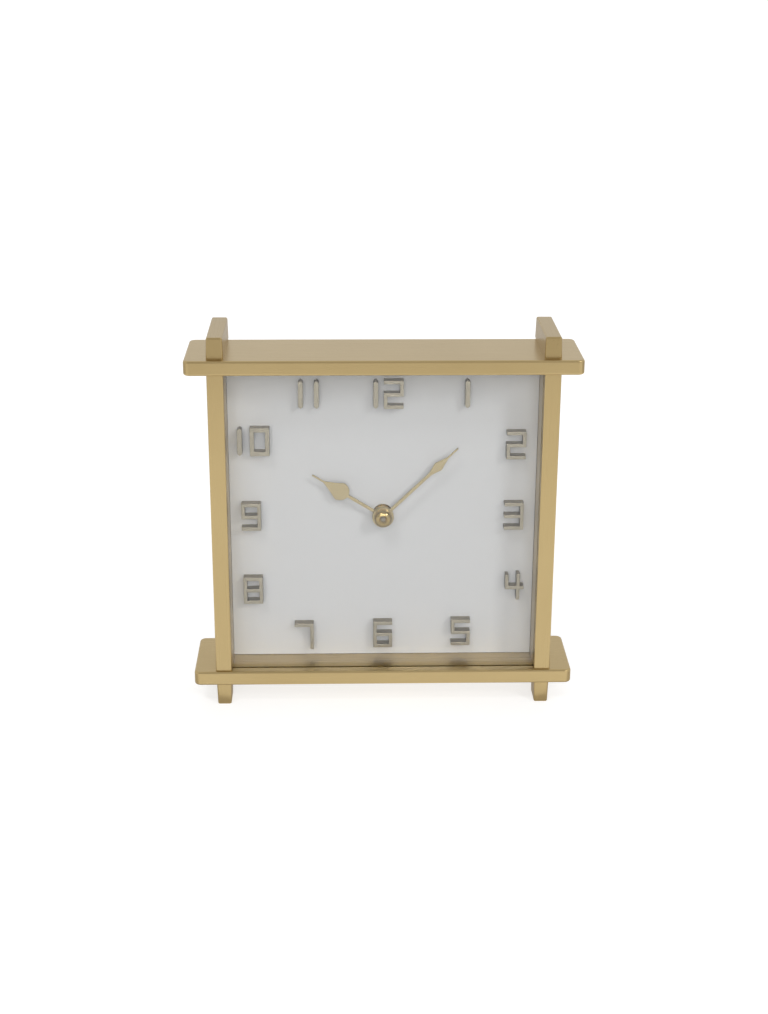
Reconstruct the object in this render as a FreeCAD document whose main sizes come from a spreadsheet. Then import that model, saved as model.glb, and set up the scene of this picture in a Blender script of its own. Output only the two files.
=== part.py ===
"""Table clock: a brass-finished frame of plates, posts, bars and feet around a glazed dial and a quartz movement.

Millimetres, +Z up, +Y to the back. The origin is on the ground, in the middle of the clock.
"""
import FreeCAD
import Part
import Sketcher

import math
import os
import re

from FreeCAD import Rotation, Vector

# Driving dimensions. "across" is along X and "up" along Z, both from the hands' axis.
SIZES = {
    # Frame
    "plate_width": 210.0,
    "plate_depth": 47.0,
    "plate_thickness": 8.0,
    "plate_corner": 3.5,
    "plate_edge": 1.2,
    "clear_height": 170.0,
    "plate_overhang": 12.0,
    "post_width": 8.8,
    "post_setback": 1.8,
    "post_edge": 0.7,
    "bar_width": 9.1,
    "bar_height": 11.5,
    "bar_setback": 4.0,
    "foot_width": 8.2,
    "foot_depth": 15.0,
    "foot_height": 12.5,
    "foot_setback": 1.5,
    "cast_draft": 1.5,
    "cast_edge": 1.0,
    # Tie bolts
    "bolt_radius": 1.5,
    "bolt_head_radius": 2.6,
    "bolt_head_height": 3.0,
    "bolt_recess": 1.0,
    "bolt_socket_radius": 1.25,
    "bolt_socket_depth": 1.6,
    "bolt_engagement": 7.0,
    "bolt_end_gap": 0.5,
    "bolt_clearance": 0.2,
    "thread_clearance": 0.05,
    # Panes in the grooves
    "groove_depth": 2.0,
    "groove_clearance": 0.15,
    "glass_setback": 5.7,
    "glass_thickness": 2.0,
    "dial_setback": 24.1,
    "dial_thickness": 1.0,
    "dial_clearance": 0.2,
    "board_thickness": 3.0,
    # Numerals of bent strip
    "numeral_width": 10.6,
    "numeral_height": 15.6,
    "numeral_depth": 5.5,
    "numeral_strip": 1.9,
    "zero_strip": 2.3,
    "numeral_bar": 2.6,
    "numeral_point": 1.2,
    # Places of the numerals: from the edge of the opening that each stands at, and along it
    "hour_1_across": 45.2,
    "hour_1_drop": 15.3,
    "hour_2_inset": 12.0,
    "hour_2_up": 40.7,
    "hour_3_inset": 12.2,
    "hour_3_up": -0.2,
    "hour_4_inset": 10.8,
    "hour_4_up": -42.1,
    "hour_5_across": 43.9,
    "hour_5_rise": 15.1,
    "hour_6_across": 0.1,
    "hour_6_rise": 14.2,
    "hour_7_across": -44.1,
    "hour_7_rise": 13.3,
    "hour_8_inset": 12.1,
    "hour_8_up": -43.6,
    "hour_9_inset": 11.9,
    "hour_9_up": 0.0,
    "hour_10_inset": 14.0,
    "hour_10_up": 43.2,
    "hour_10_gap": 4.2,
    "hour_11_across": -40.2,
    "hour_11_drop": 15.4,
    "hour_11_gap": 5.9,
    "hour_12_across": 2.7,
    "hour_12_drop": 15.5,
    "hour_12_gap": 3.0,
    # Hands
    "hand_thickness": 0.8,
    "hand_hub_radius": 5.9,
    "hand_tip_width": 0.9,
    "hand_gap": 0.7,
    "hour_hand_angle": 302.0,
    "hour_hand_length": 45.5,
    "hour_stem_width": 1.7,
    "hour_leaf_start": 22.6,
    "hour_leaf_widest": 28.2,
    "hour_leaf_width": 10.3,
    "hour_leaf_end": 38.2,
    "hour_leaf_hollow": 0.3,
    "minute_hand_angle": 45.7,
    "minute_hand_length": 56.6,
    "minute_stem_width": 1.7,
    "minute_leaf_start": 35.5,
    "minute_leaf_widest": 41.8,
    "minute_leaf_width": 5.4,
    "minute_leaf_end": 49.2,
    "minute_leaf_hollow": 0.1,
    "hand_nut_radius": 4.9,
    "hand_nut_thickness": 4.4,
    "hand_nut_dome": 2.6,
    "hand_nut_dish": 0.8,
    # Arbors and pipes at the centre
    "arbor_radius": 1.6,
    "arbor_tip_radius": 1.4,
    "arbor_recess": 1.2,
    "rear_arbor_radius": 0.9,
    "pipe_wall": 0.95,
    "running_clearance": 0.05,
    "bush_wall": 1.35,
    "bush_proud": 0.8,
    "fixing_nut_flats": 9.6,
    "fixing_nut_thickness": 2.2,
    "washer_radius": 5.6,
    "washer_thickness": 0.5,
    "rubber_radius": 14.0,
    "rubber_thickness": 0.5,
    "hole_clearance": 0.2,
    # Movement case
    "case_corner": 2.0,
    "case_wall": 1.6,
    "case_floor": 1.4,
    "cover_thickness": 1.2,
    "cover_ledge": 0.7,
    "cover_clearance": 0.1,
    "divider_wall": 1.2,
    # Battery and its contacts
    "battery_radius": 7.0,
    "battery_length": 49.0,
    "battery_nub_radius": 2.75,
    "battery_nub_length": 1.0,
    "battery_edge": 0.6,
    "battery_clearance": 0.3,
    "contact_thickness": 0.4,
    "contact_width": 9.0,
    "contact_reach": 0.7,
    "contact_gap": 0.3,
    "contact_margin": 2.0,
    # Wheels: teeth, modules and levels
    "train_module": 0.3,
    "seconds_module": 0.36,
    "hour_module": 0.45,
    "train_pinion_teeth": 8,
    "intermediate_teeth": 48,
    "seconds_teeth": 40,
    "third_teeth": 60,
    "centre_teeth": 64,
    "cannon_teeth": 12,
    "minute_teeth": 36,
    "minute_pinion_teeth": 10,
    "hour_teeth": 40,
    "knob_pinion_teeth": 10,
    "wheel_thickness": 0.8,
    "pinion_margin": 0.2,
    "first_level": 0.5,
    "level_step": 1.6,
    "wheel_gap": 0.76,
    "tooth_addendum": 0.8,
    "tooth_dedendum": 1.15,
    "tooth_tip_share": 0.2,
    "tooth_root_share": 0.5,
    # Places of the wheels: direction in degrees from the wheel before
    "minute_bearing": 180.0,
    "knob_bearing": 150.0,
    "third_bearing": 35.0,
    "seconds_bearing": 80.0,
    "intermediate_bearing": 180.0,
    "rotor_bearing": 180.0,
    # Pivots
    "staff_radius": 0.6,
    "pivot_radius": 0.45,
    "pivot_depth": 0.7,
    "end_shake": 0.1,
    # Rotor, stator, coil and circuit
    "magnet_radius": 2.8,
    "magnet_length": 2.6,
    "magnet_gap": 0.4,
    "stator_thickness": 1.2,
    "stator_height": 4.7,
    "stator_width": 21.0,
    "stator_rise": 7.2,
    "stator_leg": 3.0,
    "stator_margin": 1.4,
    "coil_wind": 1.7,
    "coil_flange": 0.8,
    "coil_flange_rim": 0.5,
    "coil_clearance": 0.1,
    "board_post_radius": 1.3,
    "circuit_thickness": 1.0,
    "circuit_margin": 0.6,
    "circuit_gap": 2.8,
    "circuit_head": 3.4,
    "circuit_height": 10.1,
    "crystal_radius": 1.0,
    "crystal_length": 6.0,
    # Setting knob
    "knob_shaft_radius": 1.5,
    "knob_radius": 6.0,
    "knob_thickness": 2.0,
    "knob_gap": 0.3,
    "knob_ribs": 24,
    "knob_rib_depth": 0.4,
}

# Places and sizes that follow from the driving dimensions.
DERIVED = {
    # Frame
    "front": "-(plate_depth + bar_setback) / 2",
    "base_top": "foot_height + plate_thickness",
    "top_under": "base_top + clear_height",
    "top_over": "top_under + plate_thickness",
    "axis_height": "base_top + clear_height / 2",
    "post_reach": "plate_width / 2 - plate_overhang",
    "post_inner": "post_reach - post_width",
    "post_middle": "post_reach - post_width / 2",
    "post_depth": "plate_depth - 2 * post_setback",
    "front_bolt": "front + foot_setback + foot_depth / 2",
    "rear_bolt": "front + plate_depth - foot_setback - foot_depth / 2",
    "bolt_hole": "bolt_radius + bolt_clearance",
    "head_seat": "bolt_recess + bolt_head_height",
    # Panes and numerals
    "pane_reach": "post_inner + groove_depth - groove_clearance",
    "pane_rise": "clear_height / 2 + groove_depth - groove_clearance",
    "glass_front": "front + glass_setback",
    "dial_front": "front + dial_setback",
    "board_front": "dial_front + dial_thickness",
    "board_back": "board_front + board_thickness",
    "hour_1_up": "clear_height / 2 - hour_1_drop",
    "hour_2_across": "post_inner - hour_2_inset",
    "hour_3_across": "post_inner - hour_3_inset",
    "hour_4_across": "post_inner - hour_4_inset",
    "hour_5_up": "hour_5_rise - clear_height / 2",
    "hour_6_up": "hour_6_rise - clear_height / 2",
    "hour_7_up": "hour_7_rise - clear_height / 2",
    "hour_8_across": "hour_8_inset - post_inner",
    "hour_9_across": "hour_9_inset - post_inner",
    "hour_10_across": "hour_10_inset - post_inner",
    "hour_11_up": "clear_height / 2 - hour_11_drop",
    "hour_12_up": "clear_height / 2 - hour_12_drop",
    # Bush, pipe and arbor, from the dial to the front
    "pipe_bore": "arbor_radius + running_clearance",
    "pipe_radius": "pipe_bore + pipe_wall",
    "bush_bore": "pipe_radius + running_clearance",
    "bush_radius": "bush_bore + bush_wall",
    "bush_hole": "bush_radius + hole_clearance",
    "washer_front": "dial_front - washer_thickness",
    "fixing_nut_front": "washer_front - fixing_nut_thickness",
    "bush_front": "fixing_nut_front - bush_proud",
    "hour_hand_front": "bush_front - hand_gap - hand_thickness",
    "minute_hand_back": "hour_hand_front - hand_gap",
    "minute_hand_front": "minute_hand_back - hand_thickness",
    "hand_nut_front": "minute_hand_front - hand_nut_thickness",
    "arbor_front": "hand_nut_front + arbor_recess",
    # Places and tip radii of the wheels
    "minute_module": "hour_module * (hour_teeth + minute_pinion_teeth) / (minute_teeth + cannon_teeth)",
    "minute_distance": "hour_module * (hour_teeth + minute_pinion_teeth) / 2",
    "minute_across": "minute_distance * cos(minute_bearing)",
    "minute_up": "minute_distance * sin(minute_bearing)",
    "knob_distance": "minute_module * (minute_teeth + knob_pinion_teeth) / 2",
    "knob_across": "minute_across + knob_distance * cos(knob_bearing)",
    "knob_up": "minute_up + knob_distance * sin(knob_bearing)",
    "third_distance": "train_module * (centre_teeth + train_pinion_teeth) / 2",
    "third_across": "third_distance * cos(third_bearing)",
    "third_up": "third_distance * sin(third_bearing)",
    "seconds_distance": "train_module * (third_teeth + train_pinion_teeth) / 2",
    "seconds_across": "third_across + seconds_distance * cos(seconds_bearing)",
    "seconds_up": "third_up + seconds_distance * sin(seconds_bearing)",
    "intermediate_distance": "seconds_module * (seconds_teeth + train_pinion_teeth) / 2",
    "intermediate_across": "seconds_across + intermediate_distance * cos(intermediate_bearing)",
    "intermediate_up": "seconds_up + intermediate_distance * sin(intermediate_bearing)",
    "rotor_distance": "train_module * (intermediate_teeth + train_pinion_teeth) / 2",
    "rotor_across": "intermediate_across + rotor_distance * cos(rotor_bearing)",
    "rotor_up": "intermediate_up + rotor_distance * sin(rotor_bearing)",
    "centre_tip": "train_module * (centre_teeth / 2 + tooth_addendum)",
    "hour_tip": "hour_module * (hour_teeth / 2 + tooth_addendum)",
    "minute_tip": "minute_module * (minute_teeth / 2 + tooth_addendum)",
    "knob_tip": "minute_module * (knob_pinion_teeth / 2 + tooth_addendum)",
    "seconds_tip": "seconds_module * (seconds_teeth / 2 + tooth_addendum)",
    "pivot_hole": "pivot_radius + running_clearance",
    "pivot_hole_depth": "pivot_depth + end_shake",
    "knob_hole": "knob_shaft_radius + running_clearance",
    # Stator and coil round the rotor
    "rotor_hole": "magnet_radius + magnet_gap",
    "stator_right": "rotor_across + rotor_hole + stator_margin",
    "stator_bottom": "rotor_up - rotor_hole - stator_margin",
    "stator_left": "stator_right - stator_width",
    "stator_top": "rotor_up + stator_rise",
    "window_right": "rotor_across - rotor_hole - stator_margin",
    "window_left": "stator_left + stator_leg",
    "window_top": "stator_top - stator_leg",
    "window_bottom": "rotor_up",
    "coil_rim": "coil_wind + coil_flange_rim",
    # Case round the wheels and the cell
    "chamber_top": "max(stator_top + coil_rim; seconds_up + seconds_tip) + wheel_gap",
    "chamber_bottom": "-(max(centre_tip; hour_tip; minute_tip - minute_up) + wheel_gap)",
    "cell_half": "(battery_length + battery_nub_length) / 2 + contact_thickness + contact_reach + contact_gap",
    "case_inner": "max(cell_half; knob_tip - knob_across + wheel_gap)",
    "case_half": "case_inner + case_wall",
    "case_high": "chamber_top + case_wall",
    "bay_top": "chamber_bottom - divider_wall",
    "bay_bottom": "bay_top - 2 * (battery_radius + battery_clearance)",
    "case_low": "bay_bottom - case_wall",
    "case_depth": "case_floor + 2 * (battery_radius + battery_clearance)",
    "case_front": "board_back + rubber_thickness",
    "floor_level": "case_front + case_floor",
    "case_back": "case_front + case_depth",
    "cover_front": "case_back - cover_thickness",
    "battery_up": "bay_bottom + battery_clearance + battery_radius",
    "battery_level": "floor_level + battery_clearance + battery_radius",
    "battery_left": "contact_thickness + contact_reach + contact_gap - case_inner",
    # Levels of the wheels, from the case floor to the back
    "hour_level": "floor_level + first_level",
    "minute_level": "hour_level + level_step",
    "centre_level": "minute_level + level_step",
    "third_level": "centre_level + level_step",
    "seconds_level": "third_level + level_step",
    "intermediate_level": "seconds_level + level_step",
    "stator_level": "floor_level + stator_height",
    # Circuit board on its posts
    "circuit_level": "floor_level + circuit_height",
    "circuit_right": "case_inner - circuit_margin",
    "circuit_left": "seconds_across + circuit_gap",
    "circuit_bottom": "chamber_bottom + circuit_margin",
    "circuit_top": "chamber_top - circuit_head",
    "board_post_across": "circuit_right - 2 * board_post_radius",
    "low_post_up": "circuit_bottom + 2 * board_post_radius",
    "high_post_up": "circuit_top - 2 * board_post_radius",
}

# Each figure is bent from one or two strips. Their corners are in halves of the width and height.
FIGURES = {
    "0": [[(1, 1), (-1, 1), (-1, -1), (1, -1)], [(1, -1), (1, 1)]],
    "2": [[(-1, 1), (1, 1), (1, 0), (-1, 0), (-1, -1), (1, -1)]],
    "3": [[(-1, 1), (1, 1), (1, -1), (-1, -1)], [(-1, 0), (1, 0)]],
    "4": [[(-0.95, 0.9), (-0.95, -0.08), (1, -0.08)], [(0.5, 1), (0.5, -1)]],
    "5": [[(1, 1), (-1, 1), (-1, 0), (1, 0), (1, -1), (-1, -1)]],
    "6": [[(1, 1), (-1, 1), (-1, -1), (1, -1), (1, 0)], [(1, 0), (-1, 0)]],
    "7": [[(-1, 1), (1, 1), (1, -1)]],
    "8": [[(1, 1), (-1, 1), (-1, -1), (1, -1)], [(1, -1), (1, 1)], [(-1, 0), (1, 0)]],
    "9": [[(-1, 0), (-1, 1), (1, 1), (1, -1), (-1, -1)], [(-1, 0), (1, 0)]],
}

NAMES = set(SIZES) | set(DERIVED)

doc = FreeCAD.newDocument("table_clock")
sheet = doc.addObject("Spreadsheet::Sheet", "Sizes")
nodes = []


def fill_sheet():
    """Write the driving dimensions and the formulas that follow from them."""
    formulas = {name: f"={formula}" for name, formula in DERIVED.items()}
    for row, (name, entry) in enumerate({**SIZES, **formulas}.items(), start=1):
        sheet.set(f"A{row}", name)
        sheet.set(f"B{row}", str(entry))
        sheet.setAlias(f"B{row}", name)
    doc.recompute()


def size(name):
    """Value of one cell of the sheet."""
    return float(sheet.get(name))


def cell(formula):
    """Formula with its names turned into references to the sheet."""
    return re.sub(r"[a-z][a-z0-9_]*", lambda word: f"Sizes.{word[0]}" if word[0] in NAMES else word[0], formula)


def bind(item, **formulas):
    """Bind properties of a document object to formulas; two underscores stand for a dot."""
    for path, formula in formulas.items():
        item.setExpression(path.replace("__", "."), cell(formula))


def place(item, across="0", deep="0", high="0"):
    """Bind where an object stands."""
    bind(item, Placement__Base__x=across, Placement__Base__y=deep, Placement__Base__z=high)
    return item


def keep(item, label):
    """Name a finished sub-part."""
    item.Label = label
    nodes.append(item)
    return item


def new_body(label, across="0", deep="0", high="0"):
    """PartDesign body of a sub-part."""
    body = doc.addObject("PartDesign::Body", label)
    return place(keep(body, label), across, deep, high)


def new_sketch(body, role, level="0"):
    """Sketch on one of the body's origin planes, moved along the plane's normal."""
    plane = next(feature for feature in body.Origin.OriginFeatures if feature.Role == role)
    sketch = body.newObject("Sketcher::SketchObject", f"{body.Name}_sketch")
    sketch.AttachmentSupport = [(plane, "")]
    sketch.MapMode = "FlatFace"
    bind(sketch, AttachmentOffset__Base__z=level)
    return sketch


def ground_sketch(body, level="0"):
    """Sketch that looks down on the ground plane."""
    return new_sketch(body, "XY_Plane", level)


def face_sketch(body, deep="0"):
    """Sketch that looks at the clock's front, at a depth behind the body's place."""
    return new_sketch(body, "XZ_Plane", f"-({deep})")


def measure(sketch, kind, *points, formula):
    """Dimension in a sketch that follows a formula."""
    index = sketch.addConstraint(Sketcher.Constraint(kind, *points, 1.0))
    sketch.setExpression(f"Constraints[{index}]", cell(formula))


def rectangle(sketch, left, right, low, high):
    """Rectangle between four formulas."""
    first = sketch.GeometryCount
    corners = [Vector(-1, -1), Vector(1, -1), Vector(1, 1), Vector(-1, 1)]
    for start, end in zip(corners, corners[1:] + corners[:1]):
        sketch.addGeometry(Part.LineSegment(start, end))
    for side in range(4):
        sketch.addConstraint(Sketcher.Constraint("Coincident", first + side, 2, first + (side + 1) % 4, 1))
        direction = "Vertical" if side % 2 else "Horizontal"
        sketch.addConstraint(Sketcher.Constraint(direction, first + side))
    measure(sketch, "DistanceX", -1, 1, first, 1, formula=left)
    measure(sketch, "DistanceY", -1, 1, first, 1, formula=low)
    measure(sketch, "DistanceX", -1, 1, first + 2, 1, formula=right)
    measure(sketch, "DistanceY", -1, 1, first + 2, 1, formula=high)


def circle(sketch, radius, across="0", up="0"):
    """Circle about a point given by two formulas."""
    index = sketch.addGeometry(Part.Circle(Vector(), Vector(0, 0, 1), 1))
    measure(sketch, "DistanceX", -1, 1, index, 3, formula=across)
    measure(sketch, "DistanceY", -1, 1, index, 3, formula=up)
    measure(sketch, "Radius", index, formula=radius)


def pad(body, sketch, length, back=False):
    """Add the sketch's profile; a face sketch adds to the front unless back is set."""
    feature = body.newObject("PartDesign::Pad", f"{body.Name}_pad")
    feature.Profile = sketch
    feature.Reversed = back
    bind(feature, Length=length)
    return feature


def pocket(body, sketch, depth, turned=False):
    """Cut the sketch's profile; a face sketch cuts to the back, a ground one down, unless turned."""
    feature = body.newObject("PartDesign::Pocket", f"{body.Name}_pocket")
    feature.Profile = sketch
    feature.Reversed = turned
    bind(feature, Length=depth)
    return feature


def round_edges(body, radius, wanted):
    """Round the edges of the body's last feature that the test picks."""
    doc.recompute()
    base = body.Tip
    names = [f"Edge{number}" for number, edge in enumerate(base.Shape.Edges, start=1) if wanted(edge)]
    feature = body.newObject("PartDesign::Fillet", f"{body.Name}_fillet")
    feature.Base = (base, names)
    bind(feature, Radius=radius)


def along(axis):
    """Test for straight edges that run along an axis."""
    def test(edge):
        return abs(edge.tangentAt(edge.FirstParameter).dot(axis)) > 0.9

    return test


def at_height(*heights):
    """Test for edges that lie at one of the heights."""
    def test(edge):
        box = edge.BoundBox
        return any(max(abs(box.ZMin - height), abs(box.ZMax - height)) < 1e-6 for height in heights)

    return test


def add_box(across, deep, up, extent_x, extent_y, extent_z):
    """Part box between formulas; up is measured from the hands' axis."""
    box = doc.addObject("Part::Box", "box")
    bind(box, Length=extent_x, Width=extent_y, Height=extent_z)
    return place(box, across, deep, f"axis_height + {up}")


def add_cylinder(radius, length, turn, across, deep, high):
    """Part cylinder that starts at a place and runs along its turned Z axis."""
    cylinder = doc.addObject("Part::Cylinder", "cylinder")
    bind(cylinder, Radius=radius, Height=length)
    cylinder.Placement = FreeCAD.Placement(Vector(), turn)
    return place(cylinder, across, deep, high)


def add_cut(base, tool):
    """Base less tool."""
    feature = doc.addObject("Part::Cut", "cut")
    feature.Base = base
    feature.Tool = tool
    return feature


def add_fuse(*items):
    """Items joined to one solid."""
    feature = doc.addObject("Part::MultiFuse", "fuse")
    feature.Shapes = list(items)
    return feature


def add_shape(label, shape, across=0.0, deep=0.0, up=0.0, turn=Rotation()):
    """Sub-part whose form no primitive gives, placed from the hands' axis and turned there."""
    item = doc.addObject("Part::Feature", label)
    item.Shape = shape
    item.Placement = FreeCAD.Placement(Vector(across, deep, size("axis_height") + up), turn)
    return keep(item, label)


def make_plate(label, high, groove_level, groove_up):
    """Slab with rounded edges, two grooves for the panes and four bolt holes."""
    body = new_body(label, high=high)
    outline = ground_sketch(body)
    rectangle(outline, "-plate_width / 2", "plate_width / 2", "front", "front + plate_depth")
    pad(body, outline, "plate_thickness")
    round_edges(body, "plate_corner", along(Vector(0, 0, 1)))
    round_edges(body, "plate_edge", at_height(0, size("plate_thickness")))
    grooves = ground_sketch(body, groove_level)
    draw_grooves(grooves, "-(post_inner + groove_depth)", "post_inner + groove_depth")
    pocket(body, grooves, "groove_depth", turned=groove_up)
    holes = ground_sketch(body)
    draw_bolt_holes(holes, "bolt_hole", ("-post_middle", "post_middle"))
    pocket(body, holes, "plate_thickness", turned=True)


def draw_grooves(sketch, left, right):
    """The glass groove and the board groove, seen from above."""
    for start, thickness in (("glass_front", "glass_thickness"), ("board_front", "board_thickness")):
        rectangle(sketch, left, right, f"{start} - groove_clearance", f"{start} + {thickness} + groove_clearance")


def draw_bolt_holes(sketch, radius, columns):
    """Bolt holes of the front and rear bolts in each column."""
    for across in columns:
        for deep in ("front_bolt", "rear_bolt"):
            circle(sketch, radius, across, deep)


def make_post(label, side):
    """Upright between the plates; side is -1 on the left and 1 on the right."""
    body = new_body(label, high="base_top")
    inner, outer = f"{side} * post_inner", f"{side} * post_reach"
    groove_end = f"{side} * (post_inner + groove_depth)"
    outline = ground_sketch(body)
    left, right = (inner, outer) if side > 0 else (outer, inner)
    rectangle(outline, left, right, "front + post_setback", "front + post_setback + post_depth")
    pad(body, outline, "clear_height")
    round_edges(body, "post_edge", along(Vector(0, 0, 1)))
    channels = ground_sketch(body)
    left, right = (inner, groove_end) if side > 0 else (groove_end, inner)
    draw_grooves(channels, left, right)
    draw_bolt_holes(channels, "bolt_hole", (f"{side} * post_middle",))
    pocket(body, channels, "clear_height", turned=True)


def make_bar(label, side):
    """Cast bar across the top plate, narrower at its top, with blind threaded holes below."""
    body = new_body(label, across=f"{side} * post_middle", high="top_over")
    outline = ground_sketch(body)
    start = "front + bar_setback"
    rectangle(outline, "-bar_width / 2", "bar_width / 2", start, f"{start} + plate_depth")
    cast = pad(body, outline, "bar_height")
    bind(cast, TaperAngle="-cast_draft")
    round_edges(body, "cast_edge", lambda edge: edge.BoundBox.ZMax > size("plate_edge"))
    holes = ground_sketch(body)
    draw_bolt_holes(holes, "bolt_radius + thread_clearance", ("0",))
    pocket(body, holes, "bolt_engagement + bolt_end_gap", turned=True)


def make_foot(label, side, middle):
    """Cast foot block, narrower at its bottom, with a counterbored bolt hole."""
    body = new_body(label, across=f"{side} * post_middle", deep=middle, high="foot_height")
    outline = ground_sketch(body)
    rectangle(outline, "-foot_width / 2", "foot_width / 2", "-foot_depth / 2", "foot_depth / 2")
    cast = pad(body, outline, "foot_height", back=True)
    bind(cast, TaperAngle="-cast_draft")
    round_edges(body, "cast_edge", lambda edge: edge.BoundBox.ZMin < -size("plate_edge"))
    hole = ground_sketch(body)
    circle(hole, "bolt_hole")
    pocket(body, hole, "foot_height")
    counterbore = ground_sketch(body, "head_seat - foot_height")
    circle(counterbore, "bolt_head_radius + bolt_clearance")
    pocket(body, counterbore, "head_seat")


def make_frame():
    """Plates, posts, bars, feet and the bolts that tie them."""
    make_plate("base_plate", "foot_height", "plate_thickness", False)
    make_plate("top_plate", "top_under", "0", True)
    for name, side in (("left", -1), ("right", 1)):
        make_post(f"{name}_post", side)
        make_bar(f"{name}_top_bar", side)
        for row in ("front", "rear"):
            make_foot(f"{row}_{name}_foot", side, f"{row}_bolt")
            make_bolt(f"{row}_{name}_bolt", side, f"{row}_bolt")


def make_bolt(label, side, deep):
    """Long socket-head bolt, from a foot up into a top bar."""
    upright = Rotation()
    spot = (f"{side} * post_middle", deep)
    head = add_cylinder("bolt_head_radius", "bolt_head_height", upright, *spot, "bolt_recess")
    shank = add_cylinder("bolt_radius", "top_over + bolt_engagement - head_seat", upright, *spot, "head_seat")
    socket = add_cylinder("bolt_socket_radius", "bolt_socket_depth", upright, *spot, "bolt_recess")
    keep(add_cut(add_fuse(head, shank), socket), label)


def make_pane(label, deep, thickness, reach, rise, hole=None):
    """Flat pane behind the front, with a hole for the bush where one is given."""
    body = new_body(label, deep=deep, high="axis_height")
    outline = face_sketch(body)
    rectangle(outline, f"-({reach})", reach, f"-({rise})", rise)
    if hole:
        circle(outline, hole)
    pad(body, outline, thickness, back=True)


def make_panes():
    """Glass, dial and backing board."""
    make_pane("glass_pane", "glass_front", "glass_thickness", "pane_reach", "pane_rise")
    make_pane("backing_board", "board_front", "board_thickness", "pane_reach", "pane_rise", "bush_hole")
    reach, rise = "post_inner - dial_clearance", "clear_height / 2 - dial_clearance"
    make_pane("dial_plate", "dial_front", "dial_thickness", reach, rise, "bush_hole")


def offset_side(points, distance):
    """Points of a bent line moved sideways, with mitred corners and the ends carried on by the distance."""
    reach = abs(distance)
    directions = [(end - start).normalize() for start, end in zip(points, points[1:])]
    ends = [points[0] - directions[0] * reach, points[-1] + directions[-1] * reach]
    sideways = [Vector(-direction.z, 0, direction.x) for direction in directions]
    side = [ends[0] + sideways[0] * distance]
    for point, before, after in zip(points[1:-1], sideways, sideways[1:]):
        side.append(point + (before + after) * (distance / (1 + before.dot(after))))
    side.append(ends[1] + sideways[-1] * distance)
    return side


def strip(points, width, depth):
    """Strip of metal bent along points in the XZ plane and standing to the front by its depth."""
    outline = offset_side(points, width / 2) + offset_side(points, -width / 2)[::-1]
    face = Part.Face(Part.makePolygon(outline + outline[:1]))
    return face.extrude(Vector(0, -depth, 0))


def joined(shapes):
    """Solids fused to one, with their shared faces merged."""
    if len(shapes) == 1:
        return shapes[0]
    return shapes[0].multiFuse(shapes[1:]).removeSplitter()


def figure(character):
    """One figure of a numeral, about its middle."""
    depth, tall = size("numeral_depth"), size("numeral_height") / 2
    if character == "1":
        half, shoulder = size("numeral_bar") / 2, tall - size("numeral_point")
        right = [(0, tall), (half, shoulder), (half, -shoulder), (0, -tall)]
        corners = right + [(-half, -shoulder), (-half, shoulder), (0, tall)]
        outline = [Vector(across, 0, up) for across, up in corners]
        return Part.Face(Part.makePolygon(outline)).extrude(Vector(0, -depth, 0))
    width = size("zero_strip" if character == "0" else "numeral_strip")
    half, tall = (size("numeral_width") - width) / 2, tall - width / 2
    strips = []
    for line in FIGURES[character]:
        points = [Vector(across * half, 0, up * tall) for across, up in line]
        strips.append(strip(points, width, depth))
    return joined(strips)


def figure_width(character):
    """Width that a figure takes in its numeral."""
    return size("numeral_bar") if character == "1" else size("numeral_width")


def make_numerals():
    """Numerals that stand on the dial, one piece of bent strip per figure."""
    for hour in range(1, 13):
        text = str(hour)
        names = [f"numeral_{hour}"] if hour < 10 else [f"numeral_{hour}_left", f"numeral_{hour}_right"]
        gap = size(f"hour_{hour}_gap") if hour >= 10 else 0
        total = sum(figure_width(character) for character in text) + gap
        edge = size(f"hour_{hour}_across") - total / 2
        for name, character in zip(names, text):
            middle = edge + figure_width(character) / 2
            add_shape(name, figure(character), middle, size("dial_front"), size(f"hour_{hour}_up"))
            edge += figure_width(character) + gap


def hand_outline(hand, shoulder):
    """Closed outline of a hand along +Z: stem, leaf and tip, mirrored about its middle line."""
    stem, tip = size(f"{hand}_stem_width") / 2, size("hand_tip_width") / 2
    start, widest = size(f"{hand}_leaf_start"), size(f"{hand}_leaf_widest")
    half, end, length = size(f"{hand}_leaf_width") / 2, size(f"{hand}_leaf_end"), size(f"{hand}_hand_length")
    along_leaf, out_leaf = shoulder
    bend = (stem + (half - stem) * out_leaf, start + (widest - start) * along_leaf)
    hollow = ((half + tip) / 2 - size(f"{hand}_leaf_hollow"), (widest + end) / 2)
    edges = []
    for side in (1, -1):
        root, neck, bulge, belly, flank, point, top = (
            Vector(side * across, 0, up)
            for across, up in ((stem, 0), (stem, start), bend, (half, widest), hollow, (tip, end), (tip, length))
        )
        edges += [Part.LineSegment(root, neck), Part.Arc(neck, bulge, belly)]
        edges += [Part.Arc(belly, flank, point), Part.LineSegment(point, top)]
    edges.append(Part.LineSegment(Vector(tip, 0, length), Vector(-tip, 0, length)))
    edges.append(Part.LineSegment(Vector(stem, 0, 0), Vector(-stem, 0, 0)))
    return Part.Wire(Part.__sortEdges__([edge.toShape() for edge in edges]))


def rod(radius, start, end):
    """Cylinder along +Y between two depths."""
    return Part.makeCylinder(radius, end - start, Vector(0, start, 0), Vector(0, 1, 0))


def make_hand(hand, shoulder, front, bore):
    """Flat hand with a round hub, turned clockwise to its angle."""
    thickness = size("hand_thickness")
    blade = Part.Face(hand_outline(hand, shoulder)).extrude(Vector(0, thickness, 0))
    shape = joined([blade, rod(size("hand_hub_radius"), 0, thickness)]).cut(rod(bore, 0, thickness))
    turn = Rotation(Vector(0, 1, 0), size(f"{hand}_hand_angle"))
    add_shape(f"{hand}_hand", shape, deep=size(front), turn=turn)


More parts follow.
